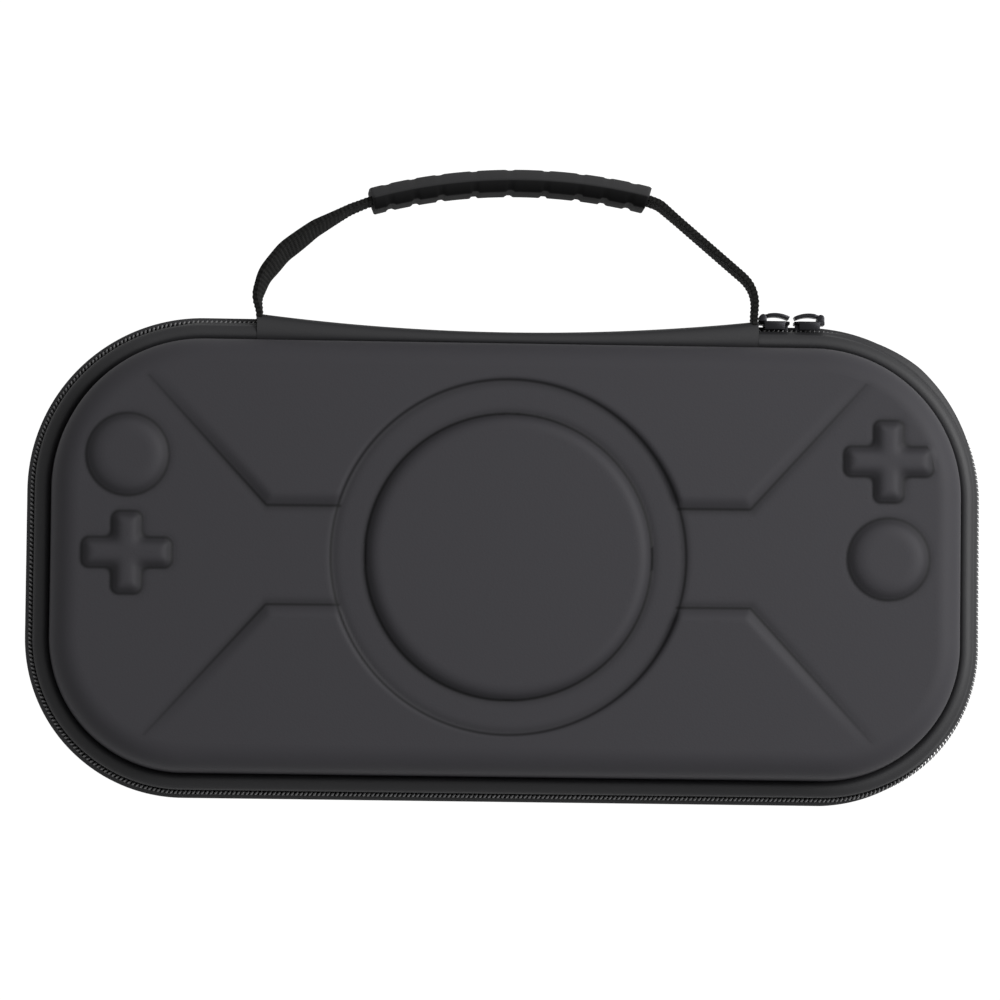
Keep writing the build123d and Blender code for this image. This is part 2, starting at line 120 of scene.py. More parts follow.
class CaseShape(bpy.types.PropertyGroup):
    """Outline and moulded shells"""

    half_width: size("Half width", "Half the width over the zip", half_span("zip_coil_front", 0))
    half_height: size("Half height", "Half the height over the zip", half_span("zip_coil_front", 1))
    top_corner: size("Top corner", "Corner radius beside the handle", 55)
    bottom_corner: size("Bottom corner", "Corner radius away from the handle", 50)
    split: size(
        "Split",
        "Height of the zip line over the floor",
        (level("zip_coil_front", 0) + level("zip_coil_back", 1)) / 2,
    )
    lid_rim: size("Lid rim", "Lowest level of the lid", level("front_shell", 0))
    back_rim: size("Back rim", "Highest level of the base", level("back_shell", 1))
    face: size("Face", "Level of the lid's plain face", 50)
    wall: size("Wall", "Thickness of the moulded foam", 3.5)
    wall_inset: size("Wall inset", "How far the walls stand inside the zip", 7.5)
    draft: angle("Draft", "Lean of the walls", 3)
    edge_round: size("Edge round", "Radius of the outer edges", 8)
    inner_round: size("Inner round", "Radius of the inner edges", 5)
    rim_round: size("Rim round", "Radius of the rims", 0.7)


class LidRelief(bpy.types.PropertyGroup):
    """Pattern pressed into the lid"""

    disc_radius: size("Disc radius", "Radius of the raised disc", 44.6)
    disc_rise: size("Disc rise", "Height of the disc over the ring", 2.5)
    disc_rim: size("Disc rim", "Width of the disc's soft rim", 5.0)
    ring_radius: size("Ring radius", "Radius of the sunk ring", 54.5)
    ring_depth: size("Ring depth", "Depth of the ring under the face", 0.5)
    ring_bevel: size("Ring bevel", "Width of the ring's outer slope", 2.0)
    panel_rise: size("Panel rise", "Height of the panels at their necks", 1.7)
    panel_bevel: size("Panel bevel", "Width of the slope at the panel edges", 4.2)
    neck_half_x: size("Neck half width", "Half the distance between the necks' outer ends", 75.4)
    neck_half_y: size("Neck half height", "Half the distance between the panels", 15.1)
    panel_end_x: size("Panel end", "Half the distance between the panels' outer ends", 116.5)
    panel_end_y: size("Panel fade", "Distance from the middle at which the panels end", 60)
    control_x: size("Control place", "Distance of the raised controls from the middle", 118.4)
    control_high: size("Upper control", "Height of the upper controls over the middle", 30.8)
    control_low: size("Lower control", "Height of the lower controls over the middle", 0.3)
    button_radius: size("Button radius", "Radius of the round controls", 12.8)
    button_rise: size("Button rise", "Height of the round controls", 2.2)
    cross_width: size("Cross width", "Width of the cross controls", 28)
    cross_height: size("Cross height", "Height of the cross controls over their arms", 25.7)
    cross_arm: size("Cross arm", "Width of a cross arm", 9.4)
    cross_rise: size("Cross rise", "How far the crosses stand out", 2.0)
    button_rim: size("Button rim", "Width of the round controls' soft rim", 7.0)
    cross_rim: size("Cross rim", "Width of the crosses' soft rim", 4.4)
    crease: size("Crease", "Depth of the crease at the foot of a raised form", 0.25)
    crease_width: size("Crease width", "Half the width of those creases", 1.4)
    turn: angle("Turn", "How far the pattern is turned on the lid", 0.3)
    cross_corner: size("Cross corner", "Radius of the cross corners", 2.4)


class ZipShape(bpy.types.PropertyGroup):
    """Zip tapes and coil"""

    tape_end: size("Tape end", "Distance from the middle at which the tapes end", 78.9)
    tape: size("Tape", "Thickness of the tapes", 0.8)
    rolled_edge: size("Rolled edge", "How far a tape's rolled edge stands out beside the coil", 2.45)
    pitch: size("Pitch", "Distance between coil turns", 1.4)
    wire: size("Wire", "Radius of the coil wire", 0.34)
    coil_outside: size("Coil outside", "Distance of the coil from the outline", 1.15)
    coil_inside: size("Coil inside", "Depth of the coil's inner side under the outline", 2.65)
    coil_half: size("Coil half height", "Height of the coil over the split", 1.75)
    coil_clear: size("Coil clear", "How far the coil stands out from its tapes on the right side", 0.5)
    slant: FloatProperty(name="Slant", description="Lean of the coil turns", default=0.55)
    right_root: size("Right root", "Where the right end of the lid tape leaves the sliders", 101)
    right_free: size("Right free", "Where the right end of the lid tape follows the lid", 122)
    left_root: size("Left root", "Where the left end of the lid tape leaves the base", 84)
    left_free: size("Left free", "Where the left end of the lid tape follows the lid", 106)


class SpineShape(bpy.types.PropertyGroup):
    """Fabric spine between the handle ends"""

    half_length: size("Half length", "Half the length of the spine", half_span("spine_strip", 0))
    end_rise: size("End rise", "How far the ends stand out", 76.7)
    middle_rise: size("Middle rise", "How far the middle stands out", 72.0)
    fabric: size("Fabric", "Thickness of the fabric", 0.7)
    tuck: size("Tuck", "How far the ends run on round the webbing", 2.3)


class HandleShape(bpy.types.PropertyGroup):
    """Webbing and grip"""

    strap: size("Webbing", "Thickness of the webbing", 2.0)
    strap_half: size("Webbing half width", "Half the width of the webbing", 9.0)
    root_half: size("Root half width", "Half the width of the pinched ends", 4.7)
    rib_pitch: size("Rib pitch", "Distance between the ribs of the webbing", 1.35)
    rib: size("Rib", "Height of the ribs", 0.12)
    left_turn: angle("Left turn", "Twist of the left arm", -11.5)
    right_turn: angle("Right turn", "Twist of the right arm", -1.5)
    grip_arc: size("Grip arc", "Radius of the grip's bow", 173)
    grip_apex: size("Grip apex", "Height of the bow over the middle of the case", 119.3)
    grip_shift: size("Grip shift", "How far the grip has slid along its webbing", -0.8)
    grip_tilt: angle("Grip tilt", "How far the grip leans on its webbing", 1.5)
    grip_half_chord: size("Grip half length", "Half the length of the grip", 43.4)
    grip_half_high: size("Grip half height", "Half the height of the grip", 3.6)
    grip_out_half: size("Grip outer half", "Half the width of the outer side", 7.0)
    grip_mid_half: size("Grip middle half", "Half the width over the ridges", 12.0)
    grip_in_half: size("Grip inner half", "Half the width of the inner side", 7.5)
    notch_width: size("Notch width", "Width of the finger notches", 2.2)
    notch_depth: size("Notch depth", "Depth of the finger notches", 0.6)
    dip_depth: size("Dip depth", "Depth of the dips in the outer side", 0.25)


class Finishes(bpy.types.PropertyGroup):
    """Colours"""

    skin: shade("Shell skin", "Coated fabric of the shells", 64, 63, 67)
    lining: shade("Lining", "Knitted lining inside", 62, 62, 64)
    tape: shade("Zip tape", "Coated zip tape", 48, 48, 50)
    coil: shade("Zip coil", "Nylon coil", 124, 124, 125)
    metal: shade("Slider metal", "Dark plated metal", 58, 58, 61)
    webbing: shade("Webbing", "Woven handle strap", 38, 38, 37)
    rubber: shade("Grip", "Moulded grip", 55, 55, 56)
    binding: shade("Binding", "Ribbed binding tape", 34, 34, 35)
    net: shade("Net", "Net of the lid pocket", 40, 40, 42)
    elastic: shade("Elastic", "Elastic hem and console strap", 42, 42, 44)
    pile: shade("Pile", "Hook and loop patches", 30, 30, 31)
    floor: shade("Floor", "Floor and surroundings", 244, 244, 244)


class Studio(bpy.types.PropertyGroup):
    """Camera and lights"""

    distance: size("Camera distance", "Distance from the case to the camera", 2200)
    span: size("Span", "Width of the view at the zip line", 313.8)
    centre_x: size("View centre across", "Middle of the view across the case", -1.75)
    centre_y: size("View centre up", "Middle of the view up the case", 19.3)
    lean_left: angle("Lean to the left", "How far the camera stands to the left", 2.9)
    lean_down: angle("Lean down", "How far the camera stands below", 4.2)
    roll: angle("Roll", "Turn of the picture", 0.65)
    key_power: power("Key", "Power of the soft lamp at the right", 9.4)
    fill_power: power("Fill", "Power of the wide lamp overhead", 0.5)
    ambient: FloatProperty(name="Ambient", description="Strength of the surroundings", default=0.33)


def settings():
    return bpy.context.scene


# Editing helpers
def pick(obj):
    bpy.ops.object.select_all(action="DESELECT")
    obj.select_set(True)
    bpy.context.view_layer.objects.active = obj


@contextmanager
def editing(obj):
    pick(obj)
    bpy.ops.object.mode_set(mode="EDIT")
    bpy.ops.mesh.select_all(action="DESELECT")
    yield
    bpy.ops.object.mode_set(mode="OBJECT")


def added(name):
    obj = bpy.context.object
    obj.name = name
    return obj


def edit_mesh(obj):
    return bmesh.from_edit_mesh(obj.data)


def places(obj):
    co = np.empty(len(obj.data.vertices) * 3)
    obj.data.vertices.foreach_get("co", co)
    return co.reshape(-1, 3)


def put(obj, co):
    obj.data.vertices.foreach_set("co", np.asarray(co, float).ravel())
    obj.data.update()


def keep_mask(obj, name, values):
    attribute = obj.data.attributes.new(name, "FLOAT", "POINT")
    attribute.data.foreach_set("value", values)


def smooth(obj, degrees=40):
    pick(obj)
    bpy.ops.object.shade_smooth_by_angle(angle=math.radians(degrees))


def apply_modifier(obj, kind, **values):
    bpy.context.view_layer.objects.active = obj
    modifier = obj.modifiers.new(kind.title(), kind)
    for key, value in values.items():
        setattr(modifier, key, value)
    bpy.ops.object.modifier_apply(modifier=modifier.name)


def close_faces(obj):
    with editing(obj):
        bpy.ops.mesh.select_all(action="SELECT")
        bpy.ops.mesh.normals_make_consistent(inside=False)


# Straight bar of one section, laid along x and cut into short lengths
def straight_bar(name, section, start, end, step):
    bpy.ops.mesh.primitive_circle_add(vertices=len(section), fill_type="NGON")
    obj = added(name)
    put(obj, [(start, out, z) for out, z in section])
    cells = max(2, round((end - start) / step))
    lengths = math.ceil(cells / CELLS_PER_CUT)
    run = (end - start) / lengths
    with editing(obj):
        bpy.ops.mesh.select_all(action="SELECT")
        for _ in range(lengths):
            bpy.ops.mesh.extrude_region_move(TRANSFORM_OT_translate={"value": (run, 0, 0)})
        bpy.ops.mesh.select_all(action="DESELECT")
        bpy.ops.mesh.select_mode(type="EDGE")
        for edge in edit_mesh(obj).edges:
            a, b = edge.verts
            edge.select_set(bool(abs(a.co.x - b.co.x) > run / 2))
        bpy.ops.mesh.subdivide(number_cuts=max(1, math.ceil(cells / lengths) - 1))
        bpy.ops.mesh.select_mode(type="VERT")
    close_faces(obj)
    return obj


# Map of a straight piece on which weave patterns follow its length and width
def keep_flat_map(obj, across):
    flat = places(obj)[:, [0, across]] / MM
    layer = obj.data.uv_layers.new(name="flat")
    corners = np.empty(len(obj.data.loops), int)
    obj.data.loops.foreach_get("vertex_index", corners)
    layer.data.foreach_set("uv", flat[corners].ravel())


# Polygon with rounded corners, as a list of points
def rounded(points, radius, steps):
    result = []
    count = len(points)
    for i in range(count):
        corner = np.array(points[i], float)
        back = np.array(points[i - 1], float) - corner
        ahead = np.array(points[(i + 1) % count], float) - corner
        reach = min(radius, np.linalg.norm(back) / 2.2, np.linalg.norm(ahead) / 2.2)
        a = corner + back / np.linalg.norm(back) * reach
        b = corner + ahead / np.linalg.norm(ahead) * reach
        for t in np.linspace(0, 1, steps):
            result.append(tuple((1 - t) ** 2 * a + 2 * t * (1 - t) * corner + t**2 * b))
    return result


# Seam outline walked clockwise from the middle of its top edge: straight legs and corner arcs
def rim_legs():
    case = settings().case_shape
    hw, hh, rt, rb = case.half_width, case.half_height, case.top_corner, case.bottom_corner
    side = 2 * hh - rt - rb
    return [
        ((0, hh), (1, 0), hw - rt, None),
        ((hw - rt, hh - rt), 90, rt * math.pi / 2, rt),
        ((hw, hh - rt), (0, -1), side, None),
        ((hw - rb, rb - hh), 0, rb * math.pi / 2, rb),
        ((hw - rb, -hh), (-1, 0), 2 * (hw - rb), None),
        ((rb - hw, rb - hh), -90, rb * math.pi / 2, rb),
        ((-hw, rb - hh), (0, 1), side, None),
        ((rt - hw, hh - rt), 180, rt * math.pi / 2, rt),
        ((rt - hw, hh), (1, 0), hw - rt, None),
    ]


def rim_length():
    return sum(leg[2] for leg in rim_legs())


# Point and outward direction on the seam outline at each distance walked
def along_rim(walked):
    point = np.zeros((len(walked), 2))
    outward = np.zeros((len(walked), 2))
    start = 0
    legs = rim_legs()
    for i, (anchor, heading, run, radius) in enumerate(legs):
        last = i == len(legs) - 1
        here = (walked >= start) & ((walked < start + run) | last)
        gone = walked[here] - start
        if radius is None:
            point[here] = np.array(anchor) + gone[:, None] * np.array(heading)
            outward[here] = (-heading[1], heading[0])
        else:
            turn = math.radians(heading) - gone / radius
            outward[here] = np.column_stack([np.cos(turn), np.sin(turn)])
            point[here] = np.array(anchor) + radius * outward[here]
        start += run
    return point, outward


# Distance walked along the top edge to a place x to the right of the middle
def walked_to(x):
    case = settings().case_shape
    straight = case.half_width - case.top_corner
    if x <= straight:
        return x
    return straight + case.top_corner * math.asin((x - straight) / case.top_corner)


# Lay a straight piece round the rim: x is walked, y points outward
def wrap_rim(obj):
    co = places(obj)
    point, outward = along_rim(co[:, 0])
    put(obj, np.column_stack([point + outward * co[:, 1:2], co[:, 2]]))


# Outward direction at places on any outline that runs parallel to the seam
def outward_at(x, y):
    case = settings().case_shape
    cx_top, cy_top = case.half_width - case.top_corner, case.half_height - case.top_corner
    cx_low, cy_low = case.half_width - case.bottom_corner, case.bottom_corner - case.half_height
    cx = np.where(y > cy_top, cx_top, cx_low)
    dy = np.where(y > cy_top, y - cy_top, np.where(y < cy_low, y - cy_low, 0))
    dx = np.sign(x) * np.maximum(np.abs(x) - cx, 0)
    dx = np.where(dy == 0, np.sign(x), dx)
    span = np.hypot(dx, dy)
    span = np.where(span > 0, span, 1)
    return np.column_stack([dx / span, dy / span])


# Shader groups
def new_group(name, outputs, vector=True, **values):
    tree = bpy.data.node_groups.new(name, "ShaderNodeTree")
    if vector:
        tree.interface.new_socket("Vector", in_out="INPUT", socket_type="NodeSocketVector")
    for key, value in values.items():
        socket = tree.interface.new_socket(key, in_out="INPUT", socket_type="NodeSocketFloat")
        socket.default_value = value
    for key in outputs:
        tree.interface.new_socket(key, in_out="OUTPUT", socket_type="NodeSocketFloat")
    return tree, tree.nodes.new("NodeGroupInput"), tree.nodes.new("NodeGroupOutput")


def math_node(tree, operation, a, b=None):
    node = tree.nodes.new("ShaderNodeMath")
    node.operation = operation
    for socket, value in zip(node.inputs, (a, b)):
        if value is None:
            continue
        if isinstance(value, bpy.types.NodeSocket):
            tree.links.new(value, socket)
        else:
            socket.default_value = value
    return node.outputs[0]


# Fine irregular grain of coated or moulded surfaces
def grain_group():
    tree, start, end = new_group("fine grain", ["Height", "Tint"], Scale=900, Cloud=14)
    fine = tree.nodes.new("ShaderNodeTexVoronoi")
    fine.feature = "SMOOTH_F1"
    cloud = tree.nodes.new("ShaderNodeTexNoise")
    cloud.inputs["Detail"].default_value = 3
    for node, rate in ((fine, "Scale"), (cloud, "Cloud")):
        tree.links.new(start.outputs["Vector"], node.inputs["Vector"])
        tree.links.new(start.outputs[rate], node.inputs["Scale"])
    tree.links.new(fine.outputs["Distance"], end.inputs["Height"])
    tree.links.new(cloud.outputs["Fac"], end.inputs["Tint"])
    return tree


# Over and under of woven threads, counted per metre
def weave_group():
    tree, start, end = new_group("woven threads", ["Height"], Along=4000, Across=4000)
    split = tree.nodes.new("ShaderNodeSeparateXYZ")
    tree.links.new(start.outputs["Vector"], split.inputs[0])
    waves = []
    for way, rate in (("X", "Along"), ("Y", "Across")):
        walked = math_node(tree, "MULTIPLY", split.outputs[way], start.outputs[rate])
        waves.append(math_node(tree, "SINE", walked))
    both = math_node(tree, "MULTIPLY", *waves)
    tree.links.new(math_node(tree, "MULTIPLY_ADD", both, 0.5), end.inputs["Height"])
    return tree


# Square meshes of a net: one on the threads, nothing between them
def net_group():
    tree, start, end = new_group("net threads", ["Thread"], Count=1400, Thread=0.62)
    split = tree.nodes.new("ShaderNodeSeparateXYZ")
    tree.links.new(start.outputs["Vector"], split.inputs[0])
    down = math_node(tree, "ADD", split.outputs["X"], split.outputs["Y"])
    up = math_node(tree, "SUBTRACT", split.outputs["X"], split.outputs["Y"])
    waves = []
    for line in (down, up):
        wave = math_node(tree, "SINE", math_node(tree, "MULTIPLY", line, start.outputs["Count"]))
        waves.append(math_node(tree, "ABSOLUTE", wave))
    nearest = math_node(tree, "MINIMUM", *waves)
    tree.links.new(math_node(tree, "LESS_THAN", nearest, start.outputs["Thread"]), end.inputs["Thread"])
    return tree


# One on a line, fading to nothing at a width on both sides of it
def line_group():
    tree, start, end = new_group("fine line", ["Line"], vector=False, Distance=1, Width=0.0007)
    away = math_node(tree, "ABSOLUTE", start.outputs["Distance"])
    fade = tree.nodes.new("ShaderNodeMapRange")
    fade.interpolation_type = "SMOOTHSTEP"
    tree.links.new(math_node(tree, "DIVIDE", away, start.outputs["Width"]), fade.inputs["Value"])
    fade.inputs["To Min"].default_value = 1
    fade.inputs["To Max"].default_value = 0
    tree.links.new(fade.outputs["Result"], end.inputs["Line"])
    return tree


GROUPS = {}


def shared(name, build):
    if name not in GROUPS:
        GROUPS[name] = build()
    return GROUPS[name]


class Finish:
    """A material with its Principled shader, ready for patterns to be linked in"""

    def __init__(self, name, tone, rough):
        self.material = bpy.data.materials.new(name)
        self.material.use_nodes = True
        self.tree = self.material.node_tree
        self.shader = self.tree.nodes["Principled BSDF"]
        self.tone = tone
        self.shader.inputs["Base Color"].default_value = (*tone, 1)
        self.shader.inputs["Roughness"].default_value = rough

    def coordinates(self, flat):
        if flat:
            node = self.tree.nodes.new("ShaderNodeUVMap")
            node.uv_map = "flat"
            return node.outputs["UV"]
        return self.tree.nodes.new("ShaderNodeTexCoord").outputs["Object"]

    def place(self, group, vector, **values):
        node = self.tree.nodes.new("ShaderNodeGroup")
        node.node_tree = group
        self.tree.links.new(vector, node.inputs["Vector"])
        for key, value in values.items():
            node.inputs[key].default_value = value
        return node

    def bump(self, height, depth):
        node = self.tree.nodes.new("ShaderNodeBump")
        node.inputs["Distance"].default_value = depth
        self.tree.links.new(height, node.inputs["Height"])
        self.tree.links.new(node.outputs["Normal"], self.shader.inputs["Normal"])

    def colour_mix(self, mask):
        mix = self.tree.nodes.new("ShaderNodeMix")
        mix.data_type = "RGBA"
        self.tree.links.new(mask, mix.inputs[0])
        return mix

    def tint(self, mask, spread):
        mix = self.colour_mix(mask)
        mix.inputs[6].default_value = (*[c * (1 - spread) for c in self.tone], 1)
        mix.inputs[7].default_value = (*[c * (1 + spread) for c in self.tone], 1)
        self.tree.links.new(mix.outputs[2], self.shader.inputs["Base Color"])

    def attribute(self, name):
        node = self.tree.nodes.new("ShaderNodeAttribute")
        node.attribute_name = name
        return node.outputs["Fac"]

    def line(self, name, width):
        node = self.tree.nodes.new("ShaderNodeGroup")
        node.node_tree = shared("line", line_group)
        self.tree.links.new(self.attribute(name), node.inputs["Distance"])
        node.inputs["Width"].default_value = width
        return node.outputs["Line"]

    def darken(self, mask, share):
        mix = self.colour_mix(math_node(self.tree, "MULTIPLY", mask, share))
        mix.blend_type = "MULTIPLY"
        self.tree.links.new(self.shader.inputs["Base Color"].links[0].from_socket, mix.inputs[6])
        mix.inputs[7].default_value = (0, 0, 0, 1)
        self.tree.links.new(mix.outputs[2], self.shader.inputs["Base Color"])

    def set(self, socket, value):
        self.shader.inputs[socket].default_value = value


def coated_fabric(name, tone, rough, scale, depth, spread):
    made = Finish(name, tone, rough)
    grain = made.place(shared("grain", grain_group), made.coordinates(False), Scale=scale)
    made.bump(grain.outputs["Height"], depth)
    made.tint(grain.outputs["Tint"], spread)
    return made


def woven(name, tone, rough, along, across, depth, flat):
    made = Finish(name, tone, rough)
    threads = made.place(
        shared("weave", weave_group), made.coordinates(flat), Along=along, Across=across
    )
    made.bump(threads.outputs["Height"], depth)
    made.tint(threads.outputs["Height"], 0.25)
    return made


MATERIALS = {}
# Half widths of the painted shade lines in the lid's creases
FINE_LINE = 0.8 * MM
CONTROL_LINE = 0.9 * MM


def material(name):
    if not MATERIALS:
        make_materials()
    return MATERIALS[name]


# One finish for each of the record's material slots, and one more for the lining
def make_materials():
    tone = settings().case_finishes
    skin = coated_fabric("shell_skin", tone.skin, 0.62, 1500, 0.00002, 0.03)
    # Painted shade: the mask darkens the skin in the creases at the foot of the raised forms
    skin.darken(skin.attribute("painted_shade"), 0.35)
    # Painted shade lines: thin dark lines painted along the edges of the disc, the ring, the panels and the
    # controls
    skin.darken(skin.line("disc_edge", FINE_LINE), 0.75)
    skin.darken(skin.line("ring_edge", FINE_LINE), 0.65)
    panel_line = skin.line("panel_edge", FINE_LINE)
    panel_line = math_node(skin.tree, "MULTIPLY", panel_line, skin.attribute("panel_show"))
    skin.darken(panel_line, 0.62)
    skin.darken(skin.line("control_edge", CONTROL_LINE), 0.55)
    skin.set("Specular IOR Level", 0.25)
    tape = coated_fabric("zip_tape", tone.tape, 0.55, 1800, 0.00002, 0.04)
    coil = Finish("zip_coil", tone.coil, 0.42)
    metal = coated_fabric("slider_metal", tone.metal, 0.34, 600, 0.00001, 0.12)
    metal.set("Metallic", 1.0)
    rubber = coated_fabric("grip_rubber", tone.rubber, 0.6, 1200, 0.00003, 0.03)
    # Painted shade darkens the inner half of the grip
    rubber.darken(rubber.attribute("painted_shade"), 0.82)
    rubber.set("Specular IOR Level", 0.12)
    webbing = woven("webbing", tone.webbing, 0.85, 2.6, 3.4, 0.00012, True)
    # Painted shade in the hollows between the webbing's ribs
    webbing.darken(webbing.attribute("painted_shade"), 0.85)
    webbing.set("Specular IOR Level", 0.2)
    net = Finish("net", tone.net, 0.8)
    threads = net.place(shared("net", net_group), net.coordinates(False))
    net.tree.links.new(threads.outputs["Thread"], net.shader.inputs["Alpha"])
    pile_grain = (0.9, 2600, 0.0004, 0.3)
    made = {
        "shell_skin": skin,
        "zip_tape": tape,
        "zip_coil": coil,
        "slider_metal": metal,
        "grip_rubber": rubber,
        "net": net,
        "webbing": webbing,
        "binding": woven("binding", tone.binding, 0.8, 3000, 3000, 0.00012, False),
        "elastic": woven("elastic", tone.elastic, 0.8, 5200, 3600, 0.00015, False),
        "loop_pile": coated_fabric("loop_pile", tone.pile, *pile_grain),
        "hook_strip": coated_fabric("hook_strip", tone.pile, *pile_grain),
        "lining": woven("lining", tone.lining, 0.9, 5600, 5600, 0.00006, False),
    }
    MATERIALS.update({name: finish.material for name, finish in made.items()})


# Give a piece its finish, its record slot and the solids that it stands for
def dress(obj, slot, *nodes):
    obj.data.materials.clear()
    obj.data.materials.append(material(slot))
    if nodes:
        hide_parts(*nodes)
    return obj


# Steps from nothing to one, for slopes and rims
def soft_step(t):
    t = np.clip(t, 0, 1)
    return t * t * (3 - 2 * t)


def soft_rim(t):
    return 1 - (1 - np.clip(t, 0, 1)) ** 2.4


# One in the crease at the foot of a raised form, and fading out on both sides of it
def crease(distance):
    return np.exp(-((distance / settings().lid_relief.crease_width) ** 2))


# Depth inside a rectangle with rounded corners
def rounded_box(x, y, half_x, half_y, corner):
    over_x, over_y = np.abs(x) - half_x + corner, np.abs(y) - half_y + corner
    outside = np.hypot(np.maximum(over_x, 0), np.maximum(over_y, 0))
    return corner - outside - np.minimum(np.maximum(over_x, over_y), 0)


def cross_depth(x, y):
    relief = settings().lid_relief
    arm, corner = relief.cross_arm / 2, relief.cross_corner
    across = rounded_box(x, y, relief.cross_width / 2, arm, corner)
    upright = rounded_box(x, y, arm, relief.cross_height / 2, corner)
    blend = np.clip(0.5 + 0.5 * (across - upright) / corner, 0, 1)
    return across * blend + upright * (1 - blend) + corner * blend * (1 - blend)


# The masks of a place with no crease: no painted shade and no painted shade line near it
FAR = 1.0
UNSHADED_MASKS = {
    "painted_shade": 0.0,
    "panel_show": 0.0,
    "panel_edge": FAR,
    "ring_edge": FAR,
    "disc_edge": FAR,
    "control_edge": FAR,
}


# Height of the relief over the plain face, with masks for the painted shade in its soft creases and
# distances to its fine painted shade lines
def relief_at(x, y):
    relief = settings().lid_relief
    turned = (x + 1j * y) * np.exp(-1j * relief.turn)
    x, y = turned.real, turned.imag
    radius = np.hypot(x, y)
    run = np.array([relief.panel_end_x - relief.neck_half_x, relief.panel_end_y - relief.neck_half_y])
    run /= np.linalg.norm(run)
    up = np.abs(y) - relief.neck_half_y
    slanting = up * run[0] - (np.abs(x) - relief.neck_half_x) * run[1]
    inside = np.minimum(up, slanting)
    fade = (relief.panel_end_y - np.abs(y)) / (relief.panel_end_y - relief.neck_half_y)
    fade = np.clip(fade, 0, 1)
    panel_show = np.sqrt(fade) * (radius > relief.ring_radius)
    height = relief.panel_rise * fade * soft_step(inside / relief.panel_bevel)
    painted_shade = crease(inside) * panel_show
    ring = relief.ring_radius - radius
    height = height + (-relief.ring_depth - height) * soft_step(1 + ring / relief.ring_bevel)
    painted_shade = np.maximum(painted_shade, 0.7 * crease(ring))
    disc = relief.disc_radius - radius
    height += relief.disc_rise * soft_rim(disc / relief.disc_rim)
    painted_shade = np.maximum(painted_shade, crease(disc))
    control = np.full_like(x, -FAR)
    for side in (-1, 1):
        button_y = relief.control_high if side < 0 else relief.control_low
        cross_y = relief.control_low if side < 0 else relief.control_high
        at_x = x - side * relief.control_x
        button = relief.button_radius - np.hypot(at_x, y - button_y)
        height += relief.button_rise * soft_rim(button / relief.button_rim)
        cross = cross_depth(at_x, y - cross_y)
        height += relief.cross_rise * soft_rim(cross / relief.cross_rim)
        control = np.maximum(control, np.maximum(button, cross))
    painted_shade = np.maximum(painted_shade, crease(control - relief.crease_width / 2))
    masks = {
        "painted_shade": painted_shade,
        "panel_show": panel_show,
        "panel_edge": inside - 0.3 * MM,
        "ring_edge": ring + 0.4 * relief.ring_bevel,
        "disc_edge": disc,
        "control_edge": control,
    }
    # The painted shade mask also sets the depth of the real crease
    return height - relief.crease * painted_shade, masks


# Rows and columns of a plain face whose edge runs parallel to the seam
def face_plan(inset, pitch):
    case = settings().case_shape
    hw, hh = case.half_width - inset, case.half_height - inset
    rt, rb = case.top_corner - inset, case.bottom_corner - inset
    low_turn = np.linspace(-math.pi / 2, 0, max(8, round(rb * math.pi / 2 / pitch)))
    top_turn = np.linspace(0, math.pi / 2, max(8, round(rt * math.pi / 2 / pitch)))
    middle = np.linspace(rb - hh, hh - rt, max(4, round((2 * hh - rt - rb) / pitch)))[1:-1]
    y = np.concatenate([rb - hh + rb * np.sin(low_turn), middle, hh - rt + rt * np.sin(top_turn)])
    half = np.concatenate(
        [hw - rb + rb * np.cos(low_turn), np.full(len(middle), hw), hw - rt + rt * np.cos(top_turn)]
    )
    across = np.linspace(-1, 1, round(2 * hw / pitch))
    return half[:, None] * across[None, :], np.repeat(y[:, None], len(across), axis=1)


# Grid of cells laid on such a face
def face_grid(name, x, y, z, **masks):
    rows, columns = x.shape
    bpy.ops.mesh.primitive_grid_add(x_subdivisions=columns - 1, y_subdivisions=rows - 1, size=2)
    obj = added(name)
    co = places(obj)
    column = np.rint((co[:, 0] + 1) / 2 * (columns - 1)).astype(int)
    row = np.rint((co[:, 1] + 1) / 2 * (rows - 1)).astype(int)
    put(obj, np.column_stack([x[row, column], y[row, column], z[row, column]]))
    for mask, values in masks.items():
        keep_mask(obj, mask, values[row, column])
    return obj


# Insets and heights round an edge, from its wall at no turn to its flat at a right angle
def edge_arc(inset, high, radius, degrees):
    turns = np.radians(degrees)
    return [(inset + radius * (1 - math.cos(t)), high - radius * (1 - math.sin(t))) for t in turns]


